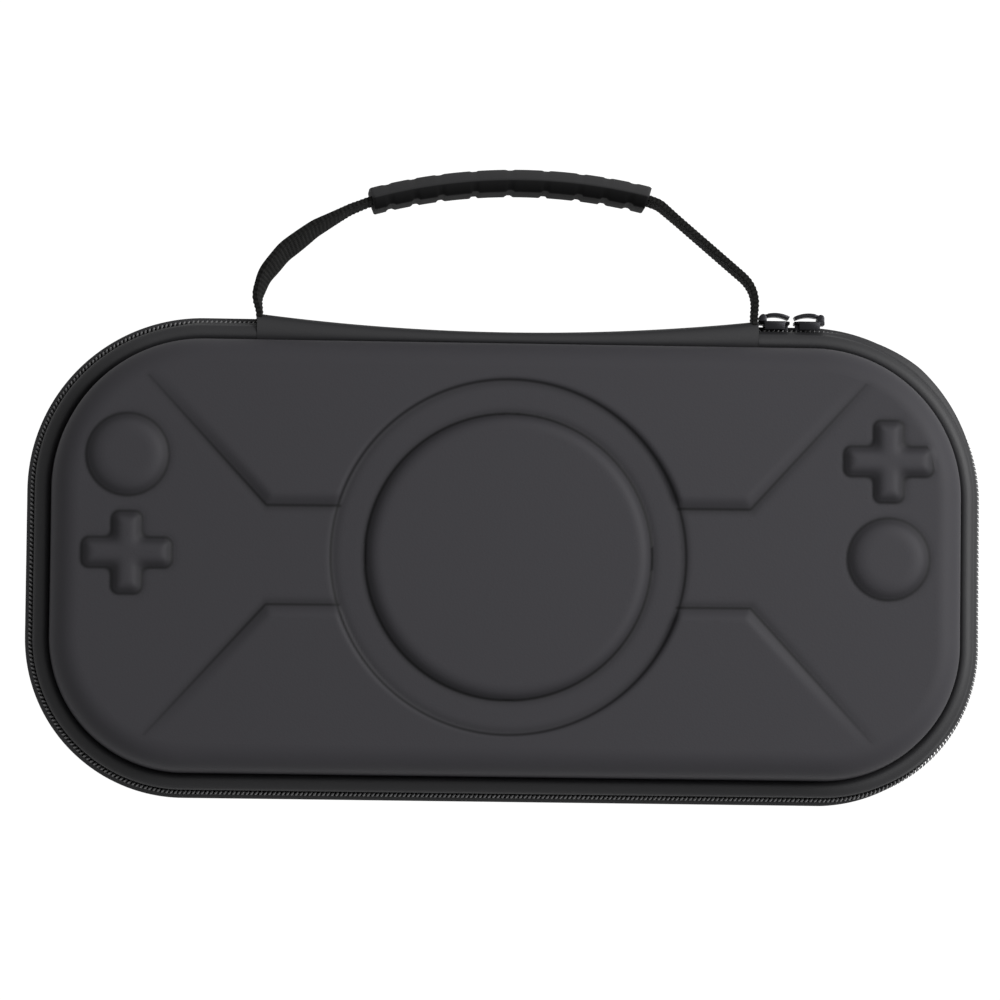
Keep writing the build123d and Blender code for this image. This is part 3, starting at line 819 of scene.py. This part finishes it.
# Moulded shell: a face, then its edge, wall, rim, inner wall and roof drawn out ring by ring
def moulded_shell(name, rim, face, pitch, relief):
    case = settings().case_shape
    up = 1 if face > rim else -1
    depth = abs(face - rim)
    lean = math.tan(case.draft)
    shoulder = case.wall_inset + (depth - case.edge_round) * lean
    inset = shoulder + case.edge_round
    x, y = face_plan(inset, pitch)
    height, masks = 0 * x, {key: np.full_like(x, value) for key, value in UNSHADED_MASKS.items()}
    if relief:
        height, masks = relief_at(x, y)
    obj = face_grid(name, x, y, face + height, **masks)
    outside = edge_arc(shoulder, depth, case.edge_round, range(81, -1, -9))
    for high in np.linspace(depth - case.edge_round, case.rim_round, 4)[1:]:
        outside.append((case.wall_inset + high * lean, high))
    eased = 0.3 * case.rim_round
    outside.append((case.wall_inset + eased, eased))
    outside.append((case.wall_inset + case.rim_round, 0))
    wall = case.wall_inset + case.wall
    roof = depth - case.wall
    inner_shoulder = wall + (roof - case.inner_round) * lean
    inside = [(wall - case.rim_round, 0), (wall - eased, eased), (wall, case.rim_round)]
    inside += edge_arc(inner_shoulder, roof, case.inner_round, range(0, 91, 18))
    with editing(obj):
        bpy.ops.mesh.select_mode(type="EDGE")
        for edge in edit_mesh(obj).edges:
            edge.select_set(edge.is_boundary)
        bpy.ops.mesh.select_mode(type="VERT")
        for ring_inset, high in outside + inside:
            bpy.ops.mesh.extrude_region_move()
            mesh = edit_mesh(obj)
            plain = [(mesh.verts.layers.float[key], value) for key, value in UNSHADED_MASKS.items()]
            ring = [v for v in mesh.verts if v.select]
            co = np.array([v.co for v in ring])
            moved = co[:, :2] + outward_at(co[:, 0], co[:, 1]) * (inset - ring_inset)
            for vertex, (new_x, new_y) in zip(ring, moved):
                vertex.co = (new_x, new_y, rim + up * high)
                for mask, value in plain:
                    vertex[mask] = value
            inset = ring_inset
        bpy.ops.mesh.edge_face_add()
    close_faces(obj)
    smooth(obj, 50)
    obj.cycles.shadow_terminator_offset = 0.25
    obj.cycles.shadow_terminator_geometry_offset = 0.4
    dress(obj, "shell_skin")
    obj.data.materials.append(material("lining"))
    middle, facing = np.empty((2, len(obj.data.polygons), 3))
    obj.data.polygons.foreach_get("center", middle.ravel())
    obj.data.polygons.foreach_get("normal", facing.ravel())
    outward = outward_at(middle[:, 0], middle[:, 1])
    faces_in = (facing[:, :2] * outward).sum(axis=1) < -0.3
    faces_in |= (up * facing[:, 2] < -0.3) & (up * (middle[:, 2] - rim) > depth / 3)
    faces_in &= up * (middle[:, 2] - rim) < depth - 0.6 * case.wall
    obj.data.polygons.foreach_set("material_index", faces_in.astype(int))
    return obj


class CASE_OT_moulded_shells(bpy.types.Operator):
    """Model the lid with its pressed relief and the plain base"""

    bl_idname = "case_looks.moulded_shells"
    bl_label = "Moulded shells"

    def execute(self, context):
        case = context.scene.case_shape
        lid = moulded_shell("lid_skin", case.lid_rim, case.face, LID_CELL, True)
        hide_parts("front_shell")
        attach(lid, "lid")
        back = moulded_shell("back_skin", case.back_rim, 0, BASE_CELL, False)
        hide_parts("back_shell")
        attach(back, "base")
        return {"FINISHED"}


# Section of the lid's zip tape above the split: outward place and height, in millimetres
TAPE_OUTSIDE = [(-2.6, z) for z in (0.35, 1.2, 1.6, 2.0, 2.4, 2.8, 3.1, 3.4)]
TAPE_OUTSIDE += [(-2.75, 3.9), (-3.1, 4.4)]
FOLD_OUTSIDE = [(-3.1, 4.4), (-3.8, 4.9), (-4.8, 5.3), (-6.0, 5.4), (-6.7, 5.1), (-7.3, 4.3), (-7.68, 3.6)]
# Share of the tape's rolled edge that shows at each height over the split
ROLLED_EDGE = [(1.2, 0), (1.6, 0.45), (2.0, 0.92), (2.4, 1), (2.8, 0.75), (3.1, 0.25), (3.4, 0)]


def tape_section(outside, thickness, side):
    inner = []
    for i, point in enumerate(outside):
        before = outside[max(i - 1, 0)]
        after = outside[min(i + 1, len(outside) - 1)]
        tangent = np.array(after) - np.array(before)
        tangent /= np.linalg.norm(tangent)
        inner.append((point[0] + tangent[1] * -thickness, point[1] + tangent[0] * thickness))
    split = settings().case_shape.split
    return [(out * MM, split + side * z * MM) for out, z in list(outside) + inner[::-1]]


# Distances walked to the places where the lid's tape and coil are whole, at its right and left ends
def whole_from():
    zips = settings().zip_shape
    return walked_to(zips.right_free + 5 * MM), walked_to(zips.left_free + 2 * MM)


# One where the coil stands clear of its tapes, low on the right side, and nothing elsewhere
def coil_clear(outward):
    return np.clip(1.3 * outward[:, 0] - 1.1 * np.maximum(outward[:, 1], 0), 0, 1)


def tape_piece(name, outside, side, start, end):
    zip_shape = settings().zip_shape
    section = tape_section(outside, zip_shape.tape / MM, side)
    obj = straight_bar(name, section, start, end, TAPE_CELL)
    co = places(obj)
    _, outward = along_rim(co[:, 0])
    clear = coil_clear(outward)
    right = np.clip(1.3 * outward[:, 0] + 0.25 * outward[:, 1], 0, 1)
    reach = right - 0.55 * clear if side > 0 else 1 - 0.6 * clear
    high = np.abs(co[:, 2] - settings().case_shape.split) / MM
    co[:, 1] += zip_shape.rolled_edge * reach * np.interp(high, *zip(*ROLLED_EDGE))
    put(obj, co)
    wrap_rim(obj)
    close_faces(obj)
    smooth(obj, 50)
    node = "zip_tape_front" if side > 0 else "zip_tape_back"
    return dress(obj, "zip_tape", node)


class CASE_OT_zip_tapes(bpy.types.Operator):
    """Lay the coated zip tapes round both shells, with soft ends at the hinge"""

    bl_idname = "case_looks.zip_tapes"
    bl_label = "Zip tapes"

    def execute(self, context):
        zips = context.scene.zip_shape
        split = context.scene.case_shape.split
        whole = TAPE_OUTSIDE + FOLD_OUTSIDE[1:]
        length = rim_length()
        right_end, left_end = whole_from()
        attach(tape_piece("tape_back", whole, -1, zips.tape_end, length - zips.tape_end), "base")
        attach(tape_piece("tape_front", whole, 1, right_end, length - left_end), "lid")
        low = split + TAPE_OUTSIDE[-1][1] * MM
        high = split + FOLD_OUTSIDE[3][1] * MM
        ends = [
            ("right", 1, zips.right_root, zips.right_free, right_end),
            ("left", -1, zips.left_root, zips.left_free, left_end),
        ]
        for word, way, root, free, end in ends:

            def stretch(a, b):
                return (a, b) if way > 0 else (length - b, length - a)

            first = stretch(zips.tape_end, walked_to(root))
            second = stretch(walked_to(root), end)
            both = stretch(zips.tape_end, end)
            upright = tape_piece(f"tape_front_root_{word}", TAPE_OUTSIDE, 1, *both)
            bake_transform(upright, "base", "lid", (way * root, 0, 0), (way * free, 0, 0))
            fold = tape_piece(f"tape_front_fold_{word}", FOLD_OUTSIDE, 1, *first)
            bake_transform(fold, "base", "lid", (0, 0, low), (0, 0, high))
            turn = tape_piece(f"tape_front_turn_{word}", FOLD_OUTSIDE, 1, *second)
            rate = Vector((way / (free - root), 0, 1 / (high - low)))
            from_here = Vector((way * root, 0, low))
            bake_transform(turn, "base", "lid", from_here, from_here + rate / rate.length_squared)
        return {"FINISHED"}


# Wire radius of a coil turn of unit size, and the gap between the two coils' middles and the split
TURN_WIRE = 0.3
COIL_GAP = 0.1 * MM


# One turn of the coil, standing over the split
def coil_turn(name, side):
    case, zips = settings().case_shape, settings().zip_shape
    bpy.ops.mesh.primitive_torus_add(
        major_segments=10,
        minor_segments=5,
        major_radius=1.0,
        minor_radius=TURN_WIRE,
        rotation=(0, math.pi / 2, 0),
    )
    bpy.ops.object.transform_apply(location=True, rotation=True, scale=True)
    obj = added(name)
    with editing(obj):
        bpy.ops.mesh.select_all(action="SELECT")
        bpy.ops.mesh.bisect(plane_co=(0, 0, 0), plane_no=(0, 0, 1), clear_inner=True)
    co = places(obj)
    half = (zips.coil_inside - zips.coil_outside) / 2
    middle = -(zips.coil_inside + zips.coil_outside) / 2
    around = np.hypot(co[:, 1], co[:, 2])
    turn_y, turn_z = co[:, 1] / around, co[:, 2] / around
    thick = (around - 1) / TURN_WIRE * zips.wire
    along = co[:, 0] / TURN_WIRE * zips.wire
    out = middle + turn_y * (half - zips.wire) + turn_y * thick
    high = COIL_GAP + turn_z * (zips.coil_half - zips.wire - COIL_GAP) + turn_z * thick
    along = along + (out - middle) * zips.slant
    put(obj, np.column_stack([along, out, case.split + side * high]))
    return obj


# Row of coil turns between two distances walked along the rim
def coil_run(name, side, start, end):
    zips = settings().zip_shape
    obj = coil_turn(name, side)
    count = int((end - start) / zips.pitch)
    apply_modifier(
        obj,
        "ARRAY",
        count=count,
        use_relative_offset=False,
        use_constant_offset=True,
        constant_offset_displace=((end - start) / count, 0, 0),
    )
    co = places(obj)
    co[:, 0] += start + zips.pitch * (0.3 if side > 0 else 0.8)
    _, outward = along_rim(co[:, 0])
    co[:, 1] += zips.coil_clear * coil_clear(outward)
    put(obj, co)
    wrap_rim(obj)
    close_faces(obj)
    smooth(obj, 60)
    return dress(obj, "zip_coil", "zip_coil_front" if side > 0 else "zip_coil_back")


class CASE_OT_zip_teeth(bpy.types.Operator):
    """Run the coil turns along both tapes"""

    bl_idname = "case_looks.zip_teeth"
    bl_label = "Zip teeth"

    def execute(self, context):
        zips = context.scene.zip_shape
        length = rim_length()
        right_end, left_end = whole_from()
        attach(coil_run("coil_back", -1, zips.tape_end, length - zips.tape_end), "base")
        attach(coil_run("coil_front", 1, right_end, length - left_end), "lid")
        right = coil_run("coil_front_root_right", 1, zips.tape_end, right_end)
        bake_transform(right, "base", "lid", (zips.right_root, 0, 0), (zips.right_free, 0, 0))
        left = coil_run("coil_front_root_left", 1, length - left_end, length - zips.tape_end)
        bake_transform(left, "base", "lid", (-zips.left_root, 0, 0), (-zips.left_free, 0, 0))
        return {"FINISHED"}


# Section of the spine over the split: share of the way out from wall to edge, and height in millimetres
SPINE_SECTION = [(-0.02, 4.2), (0.06, 5.0), (0.2, 5.6), (0.5, 5.6)]
SPINE_SECTION += [(0.78, 5.2), (0.93, 4.2), (1.0, 2.6), (1.0, 0.0)]


class CASE_OT_fabric_spine(bpy.types.Operator):
    """Fold the fabric spine between the handle ends"""

    bl_idname = "case_looks.fabric_spine"
    bl_label = "Fabric spine"

    def execute(self, context):
        case, spine = context.scene.case_shape, context.scene.spine_shape
        profile = SPINE_SECTION + [(out, -z) for out, z in SPINE_SECTION[-2::-1]]
        wall = case.half_height - case.wall_inset
        columns = 80
        half = spine.half_length + spine.tuck
        x = np.linspace(-half, half, columns)
        edge = spine.middle_rise + (spine.end_rise - spine.middle_rise) * (x / half) ** 2
        out = np.array([p[0] for p in profile])
        high = np.array([p[1] for p in profile]) * MM
        grid_y = wall + out[:, None] * (edge - wall)[None, :]
        grid_x = np.repeat(x[None, :], len(profile), axis=0)
        grid_z = case.split + np.repeat(high[:, None], columns, axis=1)
        obj = face_grid("spine_fabric", grid_x, grid_y, grid_z)
        apply_modifier(obj, "SUBSURF", levels=1, render_levels=1)
        close_faces(obj)
        apply_modifier(obj, "SOLIDIFY", thickness=spine.fabric, offset=-1)
        smooth(obj, 60)
        dress(obj, "zip_tape", "spine_strip")
        low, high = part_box("spine_strip")
        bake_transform(obj, "base", "lid", (0, 0, low.z), (0, 0, high.z))
        return {"FINISHED"}


# Copy of a solid part with its edges softened
def softened(node, name, slot, body, bevel):
    obj = bpy.data.objects.new(name, frame["nodes"][node].data.copy())
    bpy.context.scene.collection.objects.link(obj)
    with editing(obj):
        bpy.ops.mesh.select_all(action="SELECT")
        bpy.ops.mesh.remove_doubles(threshold=0.002 * MM)
        bpy.ops.mesh.dissolve_limited(angle_limit=math.radians(1))
    sharp = math.radians(35)
    apply_modifier(obj, "BEVEL", width=bevel, segments=2, limit_method="ANGLE", angle_limit=sharp)
    smooth(obj, 40)
    dress(obj, slot, node)
    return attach(obj, body)


class CASE_OT_zip_sliders(bpy.types.Operator):
    """Finish the two sliders and their pull tabs"""

    bl_idname = "case_looks.zip_sliders"
    bl_label = "Zip sliders"

    def execute(self, context):
        for side, body in (("left", "base"), ("right", "slider_right")):
            softened(f"zip_slider_{side}", f"slider_{side}", "slider_metal", body, 0.14 * MM)
        for side in ("left", "right"):
            softened(f"zip_pull_{side}", f"pull_tab_{side}", "slider_metal", f"pull_{side}", 0.2 * MM)
        return {"FINISHED"}


# Route of the webbing from the left root to the right one: corners in millimetres, with bend radii
LEFT_ROUTE = [
    ((-77.7, 70.8), 0),
    ((-78.0, 77.5), 10),
    ((-78.9, 82.0), 8),
    ((-76.6, 88.9), 12),
    ((-70.6, 96.4), 16),
    ((-61.0, 103.9), 20),
    ((-50.0, 110.1), 20),
]
RIGHT_ROUTE = [((47.4, 113.2), 8), ((78.3, 87.0), 12), ((77.7, 78.5), 4), ((77.7, 70.8), 0)]


# Points of the route, with the grip's bow as an arc and every corner rounded
def handle_route():
    shape = settings().handle_shape
    centre = shape.grip_apex - shape.grip_arc
    reach = math.asin(shape.grip_half_chord / shape.grip_arc)
    bow = np.linspace(-reach, reach, 120) - shape.grip_tilt
    arc = np.column_stack([shape.grip_arc * np.sin(bow), centre + shape.grip_arc * np.cos(bow)])
    arc[:, 0] += shape.grip_arc * math.sin(shape.grip_tilt) + shape.grip_shift
    left = [(np.array(p) * MM, r * MM) for p, r in LEFT_ROUTE] + [(arc[0], 0)]
    right = [(arc[-1], 0)] + [(np.array(p) * MM, r * MM) for p, r in RIGHT_ROUTE]
    return np.vstack([rounded_route(left), arc[1:-1], rounded_route(right)])


def rounded_route(corners):
    points = [corners[0][0]]
    for (before, _), (corner, radius), (after, _) in zip(corners, corners[1:], corners[2:]):
        come = (corner - before) / np.linalg.norm(corner - before)
        go = (after - corner) / np.linalg.norm(after - corner)
        turn = math.acos(np.clip(come @ go, -1, 1))
        back = radius * math.tan(turn / 2)
        a, b = corner - come * back, corner + go * back
        for t in np.linspace(0, 1, 24):
            points.append((1 - t) ** 2 * a + 2 * t * (1 - t) * corner + t**2 * b)
    points.append(corners[-1][0])
    return np.array(points)


# The route, and the distance walked to each of its points from the left root
def walked_route():
    route = handle_route()
    steps = np.linalg.norm(np.diff(route, axis=0), axis=1)
    return route, np.concatenate([[0], np.cumsum(steps)])


# Point and outward direction on the webbing's route at each distance walked from the left root
def along_handle(walked):
    route, gone = walked_route()
    reach = 1.0 * MM

    def at(s):
        return np.column_stack([np.interp(s, gone, route[:, 0]), np.interp(s, gone, route[:, 1])])

    heading = at(np.minimum(walked + reach, gone[-1])) - at(np.maximum(walked - reach, 0))
    heading /= np.linalg.norm(heading, axis=1)[:, None]
    return at(walked), np.column_stack([-heading[:, 1], heading[:, 0]]), gone[-1]


# Lay a straight piece along the webbing's route, turned about it by an angle at each place
def wrap_handle(obj, twist=None):
    split = settings().case_shape.split
    co = places(obj)
    point, outward, _ = along_handle(co[:, 0])
    out, wide = co[:, 1], co[:, 2]
    if twist is not None:
        cos, sin = np.cos(twist), np.sin(twist)
        out, wide = out * cos - wide * sin, out * sin + wide * cos
    put(obj, np.column_stack([point + outward * out[:, None], split + wide]))


class CASE_OT_webbing(bpy.types.Operator):
    """Weave the ribbed handle webbing with its pinched and twisted ends"""

    bl_idname = "case_looks.webbing"
    bl_label = "Handle webbing"

    def execute(self, context):
        shape = context.scene.handle_shape
        *_, length = along_handle(np.zeros(1))
        half, thick = shape.strap_half, shape.strap / 2
        wide = np.linspace(-half, half, 9)[1:-1]
        edge = thick - 0.3 * MM
        section = [(-edge, -half), (edge, -half), *[(thick, w) for w in wide]]
        section += [(edge, half), (-edge, half), *[(-thick, w) for w in wide[::-1]]]
        obj = straight_bar("handle_webbing", section, 0, length, shape.rib_pitch / 4)
        keep_flat_map(obj, 2)
        co = places(obj)
        walked = co[:, 0]
        near_end = np.minimum(walked, length - walked)
        widen = soft_step((near_end - 6 * MM) / (18 * MM))
        ribs = np.cos(walked / shape.rib_pitch * 2 * math.pi)
        co[:, 1] += np.sign(co[:, 1]) * shape.rib * ribs * (np.abs(co[:, 1]) > 0.8 * thick)
        co[:, 2] *= (shape.root_half + (half - shape.root_half) * widen) / half
        put(obj, co)
        # Painted shade: mask that darkens the hollows between the ribs
        keep_mask(obj, "painted_shade", 0.5 - 0.5 * ribs)
        middle = length / 2
        left = soft_step((walked - 2 * MM) / (12 * MM))
        left *= soft_step((middle - 44 * MM - walked) / (30 * MM))
        right = soft_step((length - walked - 6 * MM) / (16 * MM))
        right *= soft_step((walked - middle - 45 * MM) / (12 * MM))
        wrap_handle(obj, shape.left_turn * left - shape.right_turn * right)
        close_faces(obj)
        smooth(obj, 60)
        dress(obj, "webbing", "handle_strap")
        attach(obj, "handle")
        return {"FINISHED"}


# Finger notches along the grip, as distances from its middle in millimetres
NOTCHES = (-38.4, -30.3, -22.0, -11.2, 0.0, 11.2, 22.0, 30.3, 38.4)


class CASE_OT_grip(bpy.types.Operator):
    """Mould the six-sided grip with its finger notches"""

    bl_idname = "case_looks.grip"
    bl_label = "Handle grip"

    def execute(self, context):
        shape = context.scene.handle_shape
        high = shape.grip_half_high
        corners = [
            (high, -shape.grip_out_half),
            (high, shape.grip_out_half),
            (0, shape.grip_mid_half),
            (-high, shape.grip_in_half),
            (-high, -shape.grip_in_half),
            (0, -shape.grip_mid_half),
        ]
        section = rounded(corners, 0.7 * MM, 4)
        route, gone = walked_route()
        middle = np.interp(0, route[:, 0], gone)
        half = shape.grip_arc * math.asin(shape.grip_half_chord / shape.grip_arc)
        obj = straight_bar("handle_grip_moulding", section, middle - half, middle + half, GRIP_CELL)
        co = places(obj)
        from_middle = co[:, 0] - middle
        end = np.clip((half - np.abs(from_middle)) / (0.6 * MM), 0, 1)
        shrink = 1 - 0.06 * (1 - end) ** 2
        notch = np.zeros(len(co))
        for place in NOTCHES:
            away = np.abs(from_middle - place * MM) / (shape.notch_width / 2)
            notch = np.maximum(notch, soft_step(2 - 1.6 * away))
        inner = np.clip((-co[:, 1] - 0.35 * high) / (0.5 * high), 0, 1)
        outer = np.clip((co[:, 1] - 0.6 * high) / (0.3 * high), 0, 1)
        co[:, 1] = co[:, 1] * shrink + notch * (shape.notch_depth * inner - shape.dip_depth * outer)
        co[:, 2] = co[:, 2] * shrink
        put(obj, co)
        # Painted shade: mask that darkens the grip's inner half
        keep_mask(obj, "painted_shade", soft_step(-co[:, 1] / (0.2 * high)))
        wrap_handle(obj)
        close_faces(obj)
        smooth(obj, 45)
        dress(obj, "grip_rubber", "handle_grip")
        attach(obj, "handle")
        return {"FINISHED"}


class CASE_OT_lid_pocket(bpy.types.Operator):
    """Stretch the net pocket inside the lid, with its hem and border"""

    bl_idname = "case_looks.lid_pocket"
    bl_label = "Net pocket"

    def execute(self, context):
        case = context.scene.case_shape
        low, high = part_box("mesh_pocket")
        inset = case.half_width - (high.x - low.x) / 2
        x, y = face_plan(inset, NET_CELL)
        keep = y[:, 0] >= low.y
        x, y = x[keep], y[keep]
        span = (high.y - low.y) / 2
        middle = (high.y + low.y) / 2
        bow = (1 - (x / ((high.x - low.x) / 2)) ** 2) * (1 - ((y - middle) / span) ** 2)
        net = face_grid("net_pocket", x, y, (low.z + high.z) / 2 - 0.3 * MM * bow)
        smooth(net)
        dress(net, "net", "mesh_pocket")
        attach(net, "lid")
        softened("pocket_hem", "pocket_elastic", "elastic", "lid", 0.5 * MM)
        softened("pocket_binding", "pocket_border", "binding", "lid", 0.2 * MM)
        return {"FINISHED"}


class CASE_OT_inside_straps(bpy.types.Operator):
    """Finish the bindings inside the seam and the console strap with its patches"""

    bl_idname = "case_looks.inside_straps"
    bl_label = "Bindings and console strap"

    def execute(self, context):
        for side, body in (("front", "lid"), ("back", "base")):
            softened(f"inner_binding_{side}", f"binding_{side}", "binding", body, 0.25 * MM)
        for half in ("lower", "upper"):
            softened(f"console_strap_{half}", f"strap_{half}", "elastic", "base", 0.35 * MM)
        softened("loop_patch", "patch_loop", "loop_pile", "base", 0.3 * MM)
        softened("hook_patch", "patch_hook", "hook_strip", "base", 0.3 * MM)
        return {"FINISHED"}


# Places of the lamps, and the place that they face, in metres
KEY_PLACE = (0.82, 0.3, 0.78)
FILL_PLACE = (-0.2, 0.3, 1.7)
LAMP_AIM = (0, 0, 0.03)


def area_lamp(name, place, width, watts):
    lamp = bpy.data.lights.new(name, "AREA")
    lamp.size = width
    lamp.energy = watts
    obj = bpy.data.objects.new(name, lamp)
    obj.location = place
    obj.rotation_euler = (Vector(LAMP_AIM) - Vector(place)).to_track_quat("-Z", "Y").to_euler()
    bpy.context.scene.collection.objects.link(obj)


# White towards the camera, and plain to the light elsewhere
def seen_white(tree, plain, white, output):
    path = tree.nodes.new("ShaderNodeLightPath")
    mix = tree.nodes.new("ShaderNodeMixShader")
    tree.links.new(path.outputs["Is Camera Ray"], mix.inputs[0])
    tree.links.new(plain.outputs[0], mix.inputs[1])
    tree.links.new(white.outputs[0], mix.inputs[2])
    tree.links.new(mix.outputs[0], output.inputs["Surface"])


class CASE_OT_stage(bpy.types.Operator):
    """Set up the floor, the lamps and the camera"""

    bl_idname = "case_looks.stage"
    bl_label = "Stage"

    def execute(self, context):
        scene = context.scene
        studio, case = scene.case_studio, scene.case_shape
        scene.view_settings.view_transform = "Standard"
        bpy.ops.mesh.primitive_plane_add(size=8, location=(0, 0, -0.2 * MM))
        floor = added("floor")
        bpy.ops.object.transform_apply(location=True, rotation=True, scale=True)
        paint = Finish("floor_paint", scene.case_finishes.floor, 0.9)
        tree = paint.tree
        glow = tree.nodes.new("ShaderNodeEmission")
        part = tree.nodes.new("ShaderNodeMixShader")
        part.inputs[0].default_value = 0.93
        glow.inputs["Strength"].default_value = 1.1
        tree.links.new(paint.shader.outputs[0], part.inputs[1])
        tree.links.new(glow.outputs[0], part.inputs[2])
        seen_white(tree, paint.shader, part, tree.nodes["Material Output"])
        floor.data.materials.append(paint.material)
        world = bpy.data.worlds.new("surroundings")
        scene.world = world
        world.use_nodes = True
        sky = world.node_tree
        plain = sky.nodes["Background"]
        plain.inputs["Strength"].default_value = studio.ambient
        plain.inputs["Color"].default_value = (1, 1, 1, 1)
        white = sky.nodes.new("ShaderNodeBackground")
        white.inputs["Color"].default_value = (1, 1, 1, 1)
        seen_white(sky, plain, white, sky.nodes["World Output"])
        area_lamp("key_lamp", KEY_PLACE, 0.6, studio.key_power)
        area_lamp("fill_lamp", FILL_PLACE, 1.4, studio.fill_power)
        lens = bpy.data.cameras.new("camera")
        lens.sensor_width = 36
        lens.lens = 36 * studio.distance / studio.span
        lens.clip_end = 50
        camera = bpy.data.objects.new("camera", lens)
        scene.collection.objects.link(camera)
        aim = Vector((studio.centre_x, studio.centre_y, case.split))
        back = Vector((-math.tan(studio.lean_left), -math.tan(studio.lean_down), 1)).normalized()
        up = Vector((-math.sin(studio.roll), math.cos(studio.roll), 0))
        side = up.cross(back).normalized()
        turn = Matrix((side, back.cross(side), back)).transposed()
        camera.matrix_world = Matrix.Translation(aim + back * studio.distance) @ turn.to_4x4()
        scene.camera = camera
        return {"FINISHED"}


class CASE_PT_looks(bpy.types.Panel):
    """Lists the steps that dress the case"""

    bl_label = "Case looks"
    bl_idname = "CASE_PT_looks"
    bl_space_type = "VIEW_3D"
    bl_region_type = "UI"
    bl_category = "Case"

    def draw(self, context):
        for step in STEPS:
            self.layout.operator(step.bl_idname)


GROUPS_OF_VALUES = {
    "case_shape": CaseShape,
    "lid_relief": LidRelief,
    "zip_shape": ZipShape,
    "spine_shape": SpineShape,
    "handle_shape": HandleShape,
    "case_finishes": Finishes,
    "case_studio": Studio,
}
STEPS = [
    CASE_OT_moulded_shells,
    CASE_OT_zip_tapes,
    CASE_OT_zip_teeth,
    CASE_OT_fabric_spine,
    CASE_OT_zip_sliders,
    CASE_OT_webbing,
    CASE_OT_grip,
    CASE_OT_lid_pocket,
    CASE_OT_inside_straps,
    CASE_OT_stage,
]


def register():
    for name, group in GROUPS_OF_VALUES.items():
        bpy.utils.register_class(group)
        setattr(bpy.types.Scene, name, PointerProperty(type=group))
    for step in STEPS:
        bpy.utils.register_class(step)
    bpy.utils.register_class(CASE_PT_looks)


def unregister():
    bpy.utils.unregister_class(CASE_PT_looks)
    for step in reversed(STEPS):
        bpy.utils.unregister_class(step)
    for name, group in GROUPS_OF_VALUES.items():
        delattr(bpy.types.Scene, name)
        bpy.utils.unregister_class(group)


def main():
    register()
    slots = {part["node"]: part["material_slot"] for part in frame["record"]["subparts"]}
    for node, obj in frame["nodes"].items():
        obj.data.materials.clear()
        obj.data.materials.append(material(slots[node]))
    bpy.ops.case_looks.moulded_shells()
    bpy.ops.case_looks.zip_tapes()
    bpy.ops.case_looks.zip_teeth()
    bpy.ops.case_looks.fabric_spine()
    bpy.ops.case_looks.zip_sliders()
    bpy.ops.case_looks.webbing()
    bpy.ops.case_looks.grip()
    bpy.ops.case_looks.lid_pocket()
    bpy.ops.case_looks.inside_straps()
    bpy.ops.case_looks.stage()


if __name__ == "__main__":
    main()
